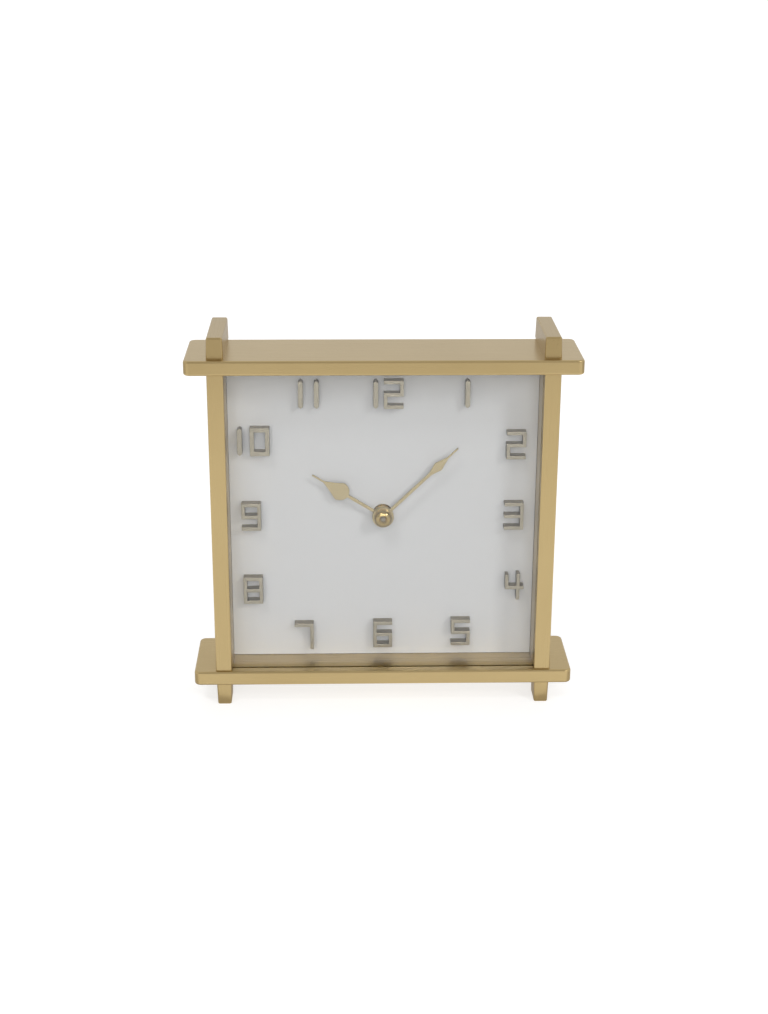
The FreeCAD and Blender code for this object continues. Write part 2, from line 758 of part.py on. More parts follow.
def make_hands():
    """Hour hand with a round-shouldered spade, minute hand with a long lozenge, and the nut in front."""
    clearance = size("thread_clearance")
    make_hand("hour", (0.25, 0.6), "hour_hand_front", size("pipe_radius") + clearance)
    make_hand("minute", (0.55, 0.5), "minute_hand_front", size("arbor_tip_radius") + clearance)
    make_hand_nut()


def make_hand_nut():
    """Round nut in front of the hands, with a domed rim and a dished hole."""
    thickness, dish = size("hand_nut_thickness"), size("hand_nut_dish")
    thread = size("arbor_tip_radius") + size("thread_clearance")
    blank = rod(size("hand_nut_radius"), 0, thickness)
    front_rim = min(blank.Edges, key=lambda edge: edge.CenterOfMass.y)
    domed = blank.makeFillet(size("hand_nut_dome"), [front_rim])
    mouth = Part.makeCone(thread + dish, thread, dish, Vector(), Vector(0, 1, 0))
    shape = domed.cut(joined([rod(thread, 0, thickness), mouth]))
    add_shape("hand_nut", shape, deep=size("hand_nut_front"))


def make_nut(label, flats, thickness, front, thread):
    """Hexagonal nut about the hands' axis, with a corner at its top."""
    prism = doc.addObject("Part::Prism", f"{label}_blank")
    prism.Polygon = 6
    corner_up = Rotation(Vector(0, 1, 0), 30).multiply(Rotation(Vector(1, 0, 0), -90))
    prism.Placement = FreeCAD.Placement(Vector(), corner_up)
    bind(prism, Circumradius=f"{flats} / (2 * cos(30))", Height=thickness)
    place(prism, deep=front, high="axis_height")
    backward = Rotation(Vector(1, 0, 0), -90)
    bore = add_cylinder(f"{thread} + thread_clearance", thickness, backward, "0", front, "axis_height")
    keep(add_cut(prism, bore), label)


def make_ring(label, radius, thickness, deep):
    """Washer about the bush."""
    body = new_body(label, deep=deep, high="axis_height")
    outline = face_sketch(body)
    circle(outline, radius)
    circle(outline, "bush_hole")
    pad(body, outline, thickness, back=True)


def make_case():
    """Tray of the movement: gear chamber above, battery bay below, threaded bush in front."""
    body = new_body("movement_case", deep="case_front", high="axis_height")
    outline = face_sketch(body)
    rectangle(outline, "-case_half", "case_half", "case_low", "case_high")
    pad(body, outline, "case_depth", back=True)
    round_edges(body, "case_corner", along(Vector(0, 1, 0)))
    rooms = face_sketch(body, "case_floor")
    rectangle(rooms, "-case_inner", "case_inner", "chamber_bottom", "chamber_top")
    rectangle(rooms, "-case_inner", "case_inner", "bay_bottom", "bay_top")
    pocket(body, rooms, "case_depth - case_floor")
    mouth = face_sketch(body, "case_depth - cover_thickness")
    rectangle(mouth, *cover_edges("cover_ledge"))
    pocket(body, mouth, "cover_thickness")
    bush = face_sketch(body)
    circle(bush, "bush_radius")
    pad(body, bush, "case_front - bush_front")
    bore = face_sketch(body, "bush_front - case_front")
    circle(bore, "bush_bore")
    pocket(body, bore, "floor_level - bush_front")
    bearings = face_sketch(body, "case_floor")
    for wheel in ("minute", "knob", "third", "seconds", "intermediate", "rotor"):
        circle(bearings, "pivot_hole", f"{wheel}_across", f"{wheel}_up")
    pocket(body, bearings, "pivot_hole_depth", turned=True)
    for level, spots in board_posts():
        posts = face_sketch(body, "case_floor")
        for spot in spots:
            circle(posts, "board_post_radius", *spot)
        pad(body, posts, f"{level} - floor_level", back=True)


def board_posts():
    """Posts on the case floor that carry the circuit board and the stator."""
    circuit = [("board_post_across", "low_post_up"), ("board_post_across", "high_post_up")]
    inset = "board_post_radius"
    stator = [(f"stator_left + {inset}", f"stator_bottom + {inset}")]
    stator.append((f"stator_left + {inset}", f"stator_top - {inset}"))
    return ("circuit_level", circuit), ("stator_level", stator)


def cover_edges(overlap):
    """Left, right, low and high edge of the gear chamber's mouth, widened by an overlap."""
    return (
        f"-(case_inner + {overlap})",
        f"case_inner + {overlap}",
        f"chamber_bottom - ({overlap})",
        f"chamber_top + {overlap}",
    )


def make_cover():
    """Lid of the gear chamber with the rear bearings and the knob's hole."""
    body = new_body("movement_cover", deep="cover_front", high="axis_height")
    outline = face_sketch(body)
    rectangle(outline, *cover_edges("cover_ledge - cover_clearance"))
    circle(outline, "knob_hole", "knob_across", "knob_up")
    pad(body, outline, "cover_thickness", back=True)
    bearings = face_sketch(body)
    circle(bearings, "pivot_hole")
    for wheel in ("minute", "third", "seconds", "intermediate", "rotor"):
        circle(bearings, "pivot_hole", f"{wheel}_across", f"{wheel}_up")
    pocket(body, bearings, "pivot_hole_depth")


def make_battery():
    """Round cell that lies across the bay, its nub to the right."""
    rightward = Rotation(Vector(0, 1, 0), 90)
    spot = ("battery_level", "axis_height + battery_up")
    can = add_cylinder("battery_radius", "battery_length", rightward, "battery_left", *spot)
    doc.recompute()
    rounded = doc.addObject("Part::Fillet", "battery_can")
    rounded.Base = can
    edge = size("battery_edge")
    rims = [number for number, line in enumerate(can.Shape.Edges, start=1) if line.Curve.TypeId == "Part::GeomCircle"]
    rounded.Edges = [(number, edge, edge) for number in rims]
    nub_start = "battery_left + battery_length"
    nub = add_cylinder("battery_nub_radius", "battery_nub_length", rightward, nub_start, *spot)
    keep(add_fuse(rounded, nub), "battery")


def make_contacts():
    """Bent strips at the ends of the battery bay: a bowed one for the nub and a leaf for the flat end."""
    thick, wide, reach = size("contact_thickness"), size("contact_width"), size("contact_reach")
    wall = size("case_inner") - thick / 2
    margin = size("contact_margin")
    near, far = size("floor_level") + margin, size("case_back") - margin
    middle = size("battery_level")
    bow = (middle - near) / 2
    bowed = [(wall, near), (wall, middle - bow), (wall - reach, middle), (wall, middle + bow), (wall, far)]
    leaf = [(-wall, far), (-wall, near), (reach - wall, near), (reach - wall, middle)]
    for label, line in (("positive_contact", bowed), ("negative_contact", leaf)):
        shape = strip([Vector(across, 0, deep) for across, deep in line], thick, wide)
        add_shape(label, shape, up=size("battery_up") - wide / 2, turn=Rotation(Vector(1, 0, 0), -90))


def make_circuit():
    """Circuit board with its crystal, and the stator with the coil round its upper leg."""
    width, length = "circuit_right - circuit_left", "circuit_top - circuit_bottom"
    board = add_box("circuit_left", "circuit_level", "circuit_bottom", width, "circuit_thickness", length)
    keep(board, "circuit_board")
    crystal = add_cylinder(
        "crystal_radius",
        "crystal_length",
        Rotation(),
        "circuit_left + 2 * crystal_radius",
        "circuit_level - crystal_radius",
        "axis_height + circuit_bottom",
    )
    keep(crystal, "quartz_crystal")
    stator = new_body("stator", deep="stator_level", high="axis_height")
    outline = face_sketch(stator)
    rectangle(outline, "stator_left", "stator_right", "stator_bottom", "stator_top")
    rectangle(outline, "window_left", "window_right", "window_bottom", "window_top")
    circle(outline, "rotor_hole", "rotor_across", "rotor_up")
    pad(stator, outline, "stator_thickness", back=True)
    make_coil()


def sleeve(wall, left, length):
    """Box sleeve round the stator's upper leg, grown outwards by a wall."""
    return add_box(
        left,
        f"stator_level - ({wall})",
        f"window_top - ({wall})",
        length,
        f"stator_thickness + 2 * ({wall})",
        f"stator_leg + 2 * ({wall})",
    )


def make_coil():
    """Winding between two flanges on the stator's upper leg."""
    left = "window_left + coil_clearance"
    length = "window_right - window_left - 2 * coil_clearance"
    winding = sleeve("coil_wind", left, length)
    first = sleeve("coil_rim", left, "coil_flange")
    last = sleeve("coil_rim", "window_right - coil_clearance - coil_flange", "coil_flange")
    core = sleeve("coil_clearance", left, length)
    keep(add_cut(add_fuse(winding, first, last), core), "drive_coil")


def toothed(teeth, module, phase, start, thickness):
    """Toothed disc along +Y, with one tooth in the direction of the phase."""
    pitch = 2 * math.pi / teeth
    tip = module * (teeth / 2 + size("tooth_addendum"))
    root = module * (teeth / 2 - size("tooth_dedendum"))
    crest, foot = size("tooth_tip_share") / 2, size("tooth_root_share") / 2
    profile = ((root, -foot), (tip, -crest), (tip, crest), (root, foot))
    points = []
    for tooth in range(teeth):
        for radius, share in profile:
            angle = phase + (tooth + share) * pitch
            points.append(Vector(radius * math.cos(angle), start, radius * math.sin(angle)))
    return Part.Face(Part.makePolygon(points + points[:1])).extrude(Vector(0, thickness, 0))


def mesh_phase(direction, driver_teeth, driver_phase, teeth):
    """Phase that puts a gap of a wheel on the driver's tooth; the direction is from the driver to the wheel."""
    turn = math.radians(direction)
    return turn + math.pi + math.pi / teeth - (driver_phase - turn) * driver_teeth / teeth


def wheel(name, level, phase, module):
    """Toothed rim of a named wheel on its level."""
    return toothed(int(size(f"{name}_teeth")), size(module), phase, size(level), size("wheel_thickness"))


def pinion(name, level, module, phase=0.0):
    """Toothed pinion, a little wider than the wheel that it meets on a level."""
    margin = size("pinion_margin")
    thickness = size("wheel_thickness") + 2 * margin
    return toothed(int(size(f"{name}_teeth")), size(module), phase, size(level) - margin, thickness)


def staff():
    """Turned staff with a pivot in the case floor and one in the cover."""
    floor, lid, shake = size("floor_level"), size("cover_front"), size("end_shake")
    body = rod(size("staff_radius"), floor + shake, lid - shake)
    return body.fuse(rod(size("pivot_radius"), floor - size("pivot_depth"), lid + size("pivot_depth")))


def add_wheel(label, spot, parts):
    """Wheel with its staff and pinions, at the named place."""
    add_shape(label, joined(parts), size(f"{spot}_across"), 0.0, size(f"{spot}_up"))


def make_going_train():
    """Rotor, intermediate, seconds, third and centre wheel, each on its own level."""
    leaves = int(size("train_pinion_teeth"))
    level, length = size("stator_level") + size("stator_thickness") / 2, size("magnet_length")
    magnet = rod(size("magnet_radius"), level - length / 2, level + length / 2)
    add_wheel("rotor", "rotor", [magnet, staff(), pinion("train_pinion", "intermediate_level", "train_module")])
    chain = (
        ("intermediate", "rotor_bearing", "train_module", "seconds_level", "seconds_module"),
        ("seconds", "intermediate_bearing", "seconds_module", "third_level", "train_module"),
        ("third", "seconds_bearing", "train_module", "centre_level", "train_module"),
    )
    for name, bearing, module, next_level, next_module in chain:
        phase = mesh_phase(size(bearing) + 180, leaves, 0.0, int(size(f"{name}_teeth")))
        rim = wheel(name, f"{name}_level", phase, module)
        add_wheel(f"{name}_wheel", name, [rim, staff(), pinion("train_pinion", next_level, next_module)])
    phase = mesh_phase(size("third_bearing") + 180, leaves, 0.0, int(size("centre_teeth")))
    rim = wheel("centre", "centre_level", phase, "train_module")
    bore = size("rear_arbor_radius") + size("running_clearance")
    margin = size("pinion_margin")
    start, end = size("centre_level") - 2 * margin, size("centre_level") + size("wheel_thickness") + 2 * margin
    hub = rod(2 * size("rear_arbor_radius"), start, end)
    add_shape("centre_wheel", joined([rim, hub]).cut(rod(bore, start, end)))


def make_motion_work():
    """Minute arbor, minute wheel, hour wheel and setting knob, which turn together."""
    shake, margin, thickness = size("end_shake"), size("pinion_margin"), size("wheel_thickness")
    cannon_back = size("minute_level") + thickness + margin
    lid = size("cover_front")
    arbor = [
        rod(size("arbor_tip_radius"), size("arbor_front"), size("minute_hand_back")),
        rod(size("arbor_radius"), size("minute_hand_back"), cannon_back),
        rod(size("rear_arbor_radius"), cannon_back, lid - shake),
        rod(size("pivot_radius"), lid - shake, lid + size("pivot_depth")),
        pinion("cannon", "minute_level", "minute_module"),
    ]
    add_shape("minute_arbor", joined(arbor))
    cannon, leaves = int(size("cannon_teeth")), int(size("minute_pinion_teeth"))
    minute_phase = mesh_phase(size("minute_bearing"), cannon, 0.0, int(size("minute_teeth")))
    rim = wheel("minute", "minute_level", minute_phase, "minute_module")
    add_wheel("minute_wheel", "minute", [rim, staff(), pinion("minute_pinion", "hour_level", "hour_module")])
    hour_phase = mesh_phase(size("minute_bearing") + 180, leaves, 0.0, int(size("hour_teeth")))
    rim = wheel("hour", "hour_level", hour_phase, "hour_module")
    front, back = size("hour_hand_front"), size("minute_level") - margin - shake
    collar = rod(size("bush_radius"), size("floor_level") + shake, back)
    pipe = rod(size("pipe_radius"), front, back)
    add_shape("hour_wheel", joined([rim, collar, pipe]).cut(rod(size("pipe_bore"), front, back)))
    make_knob(minute_phase)


def make_knob(minute_phase):
    """Ribbed setting knob behind the cover, on a shaft whose pinion turns the minute wheel."""
    teeth = int(size("knob_pinion_teeth"))
    phase = mesh_phase(size("knob_bearing"), int(size("minute_teeth")), minute_phase, teeth)
    floor, rear = size("floor_level"), size("case_back") + size("knob_gap")
    thickness, radius, ribs = size("knob_thickness"), size("knob_radius"), int(size("knob_ribs"))
    groove = rod(size("knob_rib_depth"), rear, rear + thickness)
    grooves = [
        groove.translated(Vector(radius * math.cos(turn), 0, radius * math.sin(turn)))
        for turn in (2 * math.pi * rib / ribs for rib in range(ribs))
    ]
    cap = rod(radius, rear, rear + thickness).cut(Part.Compound(grooves))
    shaft = rod(size("knob_shaft_radius"), size("minute_level") + size("wheel_thickness"), rear)
    stub = rod(size("staff_radius"), floor + size("end_shake"), rear)
    pivot = rod(size("pivot_radius"), floor - size("pivot_depth"), rear)
    parts = [cap, shaft, stub, pivot, pinion("knob_pinion", "minute_level", "minute_module", phase)]
    add_wheel("setting_knob", "knob", parts)


def make_movement():
    """Quartz movement with what fixes it to the board."""
    make_ring("brass_washer", "washer_radius", "washer_thickness", "washer_front")
    make_ring("rubber_washer", "rubber_radius", "rubber_thickness", "board_back")
    make_nut("fixing_nut", "fixing_nut_flats", "fixing_nut_thickness", "fixing_nut_front", "bush_radius")
    make_case()
    make_cover()
    make_battery()
    make_contacts()
    make_circuit()
    make_going_train()
    make_motion_work()


def export_nodes():
    """Check every object and write one file per sub-part."""
    doc.recompute()
    faults = [item.Label for item in doc.Objects if {"Invalid", "Error"} & set(item.State)]
    faults += [item.Label for item in nodes if item.Shape.isNull() or not item.Shape.isValid()]
    if faults:
        raise RuntimeError(f"objects that failed: {faults}")
    os.makedirs("parts", exist_ok=True)
    for item in nodes:
        item.Shape.exportStep(f"parts/{item.Label}.step")
        print(item.Label, len(item.Shape.Solids), round(item.Shape.Volume, 2))


fill_sheet()
make_frame()
make_panes()
make_numerals()
make_hands()
make_movement()
export_nodes()
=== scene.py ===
"""Dresses the table clock: brass frame, glazed white dial, strip numerals, hands and the movement.

Places are in metres in the clock's own frame: +X to the right seen from the front, +Y to the back and
+Z up. Widths of patterns and of broken edges are in millimetres.
"""
from __future__ import annotations

import logging
import math
from dataclasses import dataclass
from enum import Enum

import bmesh
import bpy
from mathutils import Matrix, Vector

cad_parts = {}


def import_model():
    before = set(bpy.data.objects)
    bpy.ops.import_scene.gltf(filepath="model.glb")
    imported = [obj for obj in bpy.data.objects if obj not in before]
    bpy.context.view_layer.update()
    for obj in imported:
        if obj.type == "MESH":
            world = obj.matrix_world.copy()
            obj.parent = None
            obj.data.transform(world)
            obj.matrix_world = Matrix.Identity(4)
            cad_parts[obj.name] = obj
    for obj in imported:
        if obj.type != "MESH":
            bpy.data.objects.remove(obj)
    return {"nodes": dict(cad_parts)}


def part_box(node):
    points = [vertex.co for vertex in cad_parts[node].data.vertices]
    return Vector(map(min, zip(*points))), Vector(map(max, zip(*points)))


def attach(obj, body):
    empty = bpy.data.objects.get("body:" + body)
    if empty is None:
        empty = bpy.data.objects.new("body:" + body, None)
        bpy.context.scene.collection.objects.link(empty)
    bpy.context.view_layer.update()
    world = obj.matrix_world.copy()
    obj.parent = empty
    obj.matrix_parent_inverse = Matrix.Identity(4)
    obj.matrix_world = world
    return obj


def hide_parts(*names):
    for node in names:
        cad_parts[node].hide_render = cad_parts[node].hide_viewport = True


LOG = logging.getLogger("table_clock")
MM = 0.001
WELD = 0.001 * MM  # Corners closer than this are one
CAD_WELD = 0.002 * MM  # The same for copies of CAD meshes
FLAT = math.radians(0.5)  # Faces that meet at less than this are one
SHARP = math.radians(25)  # Edges that bend by more than this are broken
CREASE = math.radians(35)  # Edges of a turned piece that bend by more than this look sharp
NOISE_LOW, NOISE_HIGH = 0.3, 0.7  # Nearly all values of a noise pattern lie between these
SHARE, FIRST, SECOND = 0, 6, 7  # Inputs of a node that mixes two colours
MIXED = 2  # Its output
HUB = (0.0, 0.0, 0.1055)  # A point on the axis of the hands
Colour = tuple[float, float, float, float]
Point = tuple[float, float, float]


def linear(code: str) -> Colour:
    """Turn an sRGB colour to linear values.

    Args:
        code: Six hex digits after a hash sign.

    Returns:
        Red, green and blue from 0 to 1, and a full alpha.
    """
    parts = [int(code[place : place + 2], 16) / 255 for place in (1, 3, 5)]
    red, green, blue = (
        part / 12.92 if part <= 0.04045 else ((part + 0.055) / 1.055) ** 2.4 for part in parts
    )
    return red, green, blue, 1.0


def add_node(
    tree: bpy.types.NodeTree, kind: str, inputs: dict | None = None, **settings: object
) -> bpy.types.Node:
    """Add a node with its settings, and set or link its inputs.

    Args:
        tree: The material's node tree.
        kind: Blender's name for the node's type.
        inputs: Values, or output sockets to link, by input name or number.
        **settings: Properties of the node.

    Returns:
        The new node.
    """
    node = tree.nodes.new(kind)
    for name, value in settings.items():
        setattr(node, name, value)
    for socket, value in (inputs or {}).items():
        if isinstance(value, bpy.types.NodeSocket):
            tree.links.new(value, node.inputs[socket])
        else:
            node.inputs[socket].default_value = value
    return node


class Axis(Enum):
    """Direction of an axis or of a pattern."""

    X = 0
    Y = 1
    Z = 2

    @property
    def line(self) -> Vector:
        """The direction as a unit vector."""
        return Vector([float(place == self.value) for place in range(3)])


def turned(profile: list[tuple[float, float]], centre: Vector, axis: Axis, steps: int) -> bmesh.types.BMesh:
    """Turn a profile about an axis, as on a lathe.

    Args:
        profile: Radius and place along the axis of each corner, in metres.
        centre: A point on the axis.
        axis: Direction of the axis.
        steps: Faces round the axis.

    Returns:
        The turned shape, facing outwards.
    """
    mesh = bmesh.new()
    corners = []
    for radius, along in profile:
        spot = centre.copy()
        spot[axis.value] = along
        spot[(axis.value + 1) % 3] += radius
        corners.append(mesh.verts.new(spot))
    edges = [mesh.edges.new(pair) for pair in zip(corners, corners[1:])]
    bmesh.ops.spin(
        mesh,
        geom=corners + edges,
        cent=centre,
        axis=axis.line,
        angle=2 * math.pi,
        steps=steps,
        use_merge=True,
    )
    bmesh.ops.remove_doubles(mesh, verts=mesh.verts, dist=WELD)
    bmesh.ops.recalc_face_normals(mesh, faces=mesh.faces)
    return mesh


@dataclass(frozen=True)
class Finish:
    """A surface that can be put on a piece.

    Attributes:
        name: Common name of the material and how its surface was made.
    """

    name: str

    def paint(self, tree: bpy.types.NodeTree, shader: bpy.types.Node) -> None:
        """Build the surface's nodes into its shader.

        Args:
            tree: The material's node tree.
            shader: The Principled shader to feed.
        """
        raise NotImplementedError

    @staticmethod
    def feed(
        tree: bpy.types.NodeTree,
        shader: bpy.types.Node,
        tone: bpy.types.Node,
        gloss: bpy.types.Node,
        bump: bpy.types.Node,
    ) -> None:
        """Link a surface's colour, gloss and relief to its shader.

        Args:
            tree: The material's node tree.
            shader: The Principled shader to feed.
            tone: Node that mixes the colour.
            gloss: Node that gives the roughness.
            bump: Node that gives the relief.
        """
        tree.links.new(tone.outputs[MIXED], shader.inputs["Base Color"])
        tree.links.new(gloss.outputs[0], shader.inputs["Roughness"])
        tree.links.new(bump.outputs[0], shader.inputs["Normal"])

    def material(self) -> bpy.types.Material:
        """Give the finish's material, built on its first use.

        Returns:
            The material.
        """
        material = bpy.data.materials.get(self.name)
        if material is None:
            material = bpy.data.materials.new(self.name)
            material.use_nodes = True
            self.paint(material.node_tree, material.node_tree.nodes["Principled BSDF"])
        return material


@dataclass(frozen=True)
class BrushedBrass(Finish):
    """Satin brass, belt-brushed along the bar and lightly aged: straight lines, wide soft highlights.

    Attributes:
        grain: Direction of the brushing.
        light: Colour of the bright metal.
        dark: Colour of the aged metal.
        roughness: Middle roughness.
        line: Width of one brush line in millimetres.
        run: Length of one brush line in millimetres.
        patch: Width of an aged patch in millimetres.
        stain: Share of the dark colour in the deepest lines.
        relief: Depth of the lines in millimetres.
        bump: Strength of that depth.
    """

    grain: Axis
    light: str = "#C2AC7E"
    dark: str = "#B7A173"
    roughness: float = 0.28
    line: float = 0.3  # Real lines are about 0.1 mm; drawn coarser so that they show.
    run: float = 90.0
    patch: float = 45.0
    stain: float = 0.18
    relief: float = 0.01
    bump: float = 0.03

    def paint(self, tree: bpy.types.NodeTree, shader: bpy.types.Node) -> None:
        """Build streaks along the grain over slow changes of tone."""
        place = add_node(tree, "ShaderNodeTexCoord").outputs["Object"]
        stretch = [1 / (self.line * MM)] * 3
        stretch[self.grain.value] = 1 / (self.run * MM)
        along = add_node(tree, "ShaderNodeMapping", {"Vector": place, "Scale": stretch})
        lines = add_node(
            tree,
            "ShaderNodeTexNoise",
            {"Vector": along.outputs[0], "Scale": 1.0, "Detail": 3.0, "Roughness": 0.6},
        ).outputs[0]
        patches = add_node(
            tree, "ShaderNodeTexNoise", {"Vector": place, "Scale": 1 / (self.patch * MM), "Detail": 2.0}
        ).outputs[0]
        aged = add_node(
            tree,
            "ShaderNodeMix",
            {SHARE: patches, FIRST: linear(self.dark), SECOND: linear(self.light)},
            data_type="RGBA",
        )
        # The deeper half of the lines has aged most
        depth = add_node(
            tree,
            "ShaderNodeMapRange",
            {"Value": lines, "From Min": 0.35, "From Max": NOISE_HIGH, "To Max": self.stain},
        )
        tone = add_node(
            tree,
            "ShaderNodeMix",
            {SHARE: depth.outputs[0], FIRST: aged.outputs[MIXED], SECOND: linear(self.dark)},
            data_type="RGBA",
        )
        gloss = add_node(
            tree,
            "ShaderNodeMapRange",
            {
                "Value": lines,
                "From Min": NOISE_LOW,
                "From Max": NOISE_HIGH,
                "To Min": self.roughness - 0.01,
                "To Max": self.roughness + 0.015,
            },
        )
        bump = add_node(
            tree,
            "ShaderNodeBump",
            {"Height": lines, "Strength": self.bump, "Distance": self.relief * MM},
        )
        shader.inputs["Metallic"].default_value = 1.0
        self.feed(tree, shader, tone, gloss, bump)


@dataclass(frozen=True)
class StripBrass(Finish):
    """Brass strip, sanded on its front and level flanks, with painted shade on its flanks, darkest on the
    upright ones.

    Attributes:
        front: Colour of the sanded front.
        level: Colour of the flanks that face up and down, darker than the front as painted shade.
        upright: Colour of the flanks that face sideways, darker still as painted shade.
        gloss: Roughness of the front.
        grit: Width of the sanding marks in millimetres.
    """

    front: str
    level: str
    upright: str
    gloss: float = 0.38
    grit: float = 0.9  # Real sanding marks are about 0.1 mm; drawn coarser so that they show.

    def paint(self, tree: bpy.types.NodeTree, shader: bpy.types.Node) -> None:
        """Tell the front from the flanks by the way that the surface faces, and paint shade on the flanks.
        """
        place = add_node(tree, "ShaderNodeTexCoord").outputs["Object"]
        normal = add_node(tree, "ShaderNodeNewGeometry").outputs["Normal"]
        facing = add_node(tree, "ShaderNodeSeparateXYZ", {"Vector": normal})
        # The front faces -Y, and broken edges fade into the flanks
        share = add_node(
            tree,
            "ShaderNodeMapRange",
            {"Value": facing.outputs["Y"], "From Min": -0.6, "From Max": -0.95},
        )
        marks = add_node(
            tree, "ShaderNodeTexNoise", {"Vector": place, "Scale": 1 / (self.grit * MM), "Detail": 3.0}
        ).outputs[0]
        # Painted shade: the level flanks are darker than the front, and a flank is darker still the more it
        # faces sideways
        sideways_shade = add_node(tree, "ShaderNodeMath", {0: facing.outputs["X"]}, operation="ABSOLUTE")
        flank_shade = add_node(
            tree,
            "ShaderNodeMix",
            {SHARE: sideways_shade.outputs[0], FIRST: linear(self.level), SECOND: linear(self.upright)},
            data_type="RGBA",
        )
        tone = add_node(
            tree,
            "ShaderNodeMix",
            {SHARE: share.outputs[0], FIRST: flank_shade.outputs[MIXED], SECOND: linear(self.front)},
            data_type="RGBA",
        )
        gloss = add_node(
            tree,
            "ShaderNodeMapRange",
            {
                "Value": marks,
                "From Min": NOISE_LOW,
                "From Max": NOISE_HIGH,
                "To Min": self.gloss - 0.05,
                "To Max": self.gloss + 0.08,
            },
        )
        bump = add_node(tree, "ShaderNodeBump", {"Height": marks, "Strength": 0.08, "Distance": 0.05 * MM})
        shader.inputs["Metallic"].default_value = 1.0
        self.feed(tree, shader, tone, gloss, bump)


@dataclass(frozen=True)
class TurnedMetal(Finish):
    """Metal turned on a lathe: faint rings about the axis and a tight highlight.

    Attributes:
        light: Colour of the bright metal.
        dark: Colour in the rings.
        axis: Direction of the lathe's axis.
        centre: A point on that axis, in metres.
        roughness: Middle roughness.
        pitch: Distance of the rings in millimetres.
    """

    light: str
    dark: str
    axis: Axis
    centre: Point
    roughness: float
    pitch: float = 0.5

    def paint(self, tree: bpy.types.NodeTree, shader: bpy.types.Node) -> None:
        """Build rings about the axis."""
        place = add_node(tree, "ShaderNodeTexCoord").outputs["Object"]
        centred = add_node(
            tree, "ShaderNodeMapping", {"Vector": place, "Location": [-value for value in self.centre]}
        )
        # A ring pattern repeats every pi / 10 of its unit
        rings = add_node(
            tree,
            "ShaderNodeTexWave",
            {"Vector": centred.outputs[0], "Scale": math.pi / 10 / (self.pitch * MM), "Distortion": 0.6},
            wave_type="RINGS",
            rings_direction=self.axis.name,
        ).outputs[1]
        tone = add_node(
            tree,
            "ShaderNodeMix",
            {SHARE: rings, FIRST: linear(self.dark), SECOND: linear(self.light)},
            data_type="RGBA",
        )
        gloss = add_node(
            tree,
            "ShaderNodeMapRange",
            {"Value": rings, "To Min": self.roughness + 0.06, "To Max": self.roughness - 0.04},
        )
        bump = add_node(tree, "ShaderNodeBump", {"Height": rings, "Strength": 0.05, "Distance": 0.03 * MM})
        shader.inputs["Metallic"].default_value = 1.0
        self.feed(tree, shader, tone, gloss, bump)


@dataclass(frozen=True)
class GrainedSurface(Finish):
    """A painted, moulded or pressed surface with a fine even grain.

    Attributes:
        light: Colour of the high spots.
        dark: Colour of the low spots.
        roughness: Middle roughness.
        grain: Width of one grain in millimetres.
        relief: Depth of the grain in millimetres.
        metallic: 1 for bare metal.
        ior: Refractive index where the surface isn't metal.
        glow: Light that comes through the surface from behind it.
        mottle: Width in millimetres of slow changes of tone, or 0 for none.
        mottle_share: Share of those changes in the tone.
    """

    light: str
    dark: str
    roughness: float
    grain: float
    relief: float = 0.02
    metallic: float = 0.0
    ior: float = 1.5
    glow: float = 0.0
    mottle: float = 0.0
    mottle_share: float = 0.45

    def paint(self, tree: bpy.types.NodeTree, shader: bpy.types.Node) -> None:
        """Build the grain with its colour, gloss and relief."""
        place = add_node(tree, "ShaderNodeTexCoord").outputs["Object"]
        grain = add_node(
            tree, "ShaderNodeTexNoise", {"Vector": place, "Scale": 1 / (self.grain * MM), "Detail": 3.0}
        ).outputs[0]
        share = grain
        if self.mottle:
            patches = add_node(
                tree,
                "ShaderNodeTexNoise",
                {"Vector": place, "Scale": 1 / (self.mottle * MM), "Detail": 4.0},
            ).outputs[0]
            share = add_node(
                tree, "ShaderNodeMix", {"Factor": self.mottle_share, "A": grain, "B": patches}
            ).outputs[0]
        tone = add_node(
            tree,
            "ShaderNodeMix",
            {SHARE: share, FIRST: linear(self.dark), SECOND: linear(self.light)},
            data_type="RGBA",
        )
        gloss = add_node(
            tree,
            "ShaderNodeMapRange",
            {
                "Value": grain,
                "From Min": NOISE_LOW,
                "From Max": NOISE_HIGH,
                "To Min": self.roughness + 0.05,
                "To Max": self.roughness - 0.05,
            },
        )
        bump = add_node(
            tree, "ShaderNodeBump", {"Height": grain, "Strength": 0.3, "Distance": self.relief * MM}
        )
        shader.inputs["Metallic"].default_value = self.metallic
        if not self.metallic:
            shader.inputs["IOR"].default_value = self.ior
        if self.glow:
            shader.inputs["Emission Color"].default_value = linear(self.light)
            shader.inputs["Emission Strength"].default_value = self.glow
        self.feed(tree, shader, tone, gloss, bump)


@dataclass(frozen=True)
class FloatGlass(Finish):
    """Clear float glass: flat, with a faint film that softens the gloss here and there.

    Attributes:
        tint: Colour of the glass.
        film: Width of a patch of film in millimetres.
        haze: Roughness of the thickest film.
        ior: Refractive index.
    """

    tint: str = "#FDFEFD"
    film: float = 25.0
    haze: float = 0.015
    ior: float = 1.5

    def paint(self, tree: bpy.types.NodeTree, shader: bpy.types.Node) -> None:
        """Build a see-through shader with a slightly uneven gloss."""
        place = add_node(tree, "ShaderNodeTexCoord").outputs["Object"]
        film = add_node(
            tree, "ShaderNodeTexNoise", {"Vector": place, "Scale": 1 / (self.film * MM), "Detail": 2.0}
        ).outputs[0]
        gloss = add_node(
            tree,
            "ShaderNodeMapRange",
            {"Value": film, "From Min": 0.4, "From Max": 0.8, "To Max": self.haze},
        )
        shader.inputs["Base Color"].default_value = linear(self.tint)
        shader.inputs["Transmission Weight"].default_value = 1.0
        shader.inputs["IOR"].default_value = self.ior
        tree.links.new(gloss.outputs[0], shader.inputs["Roughness"])


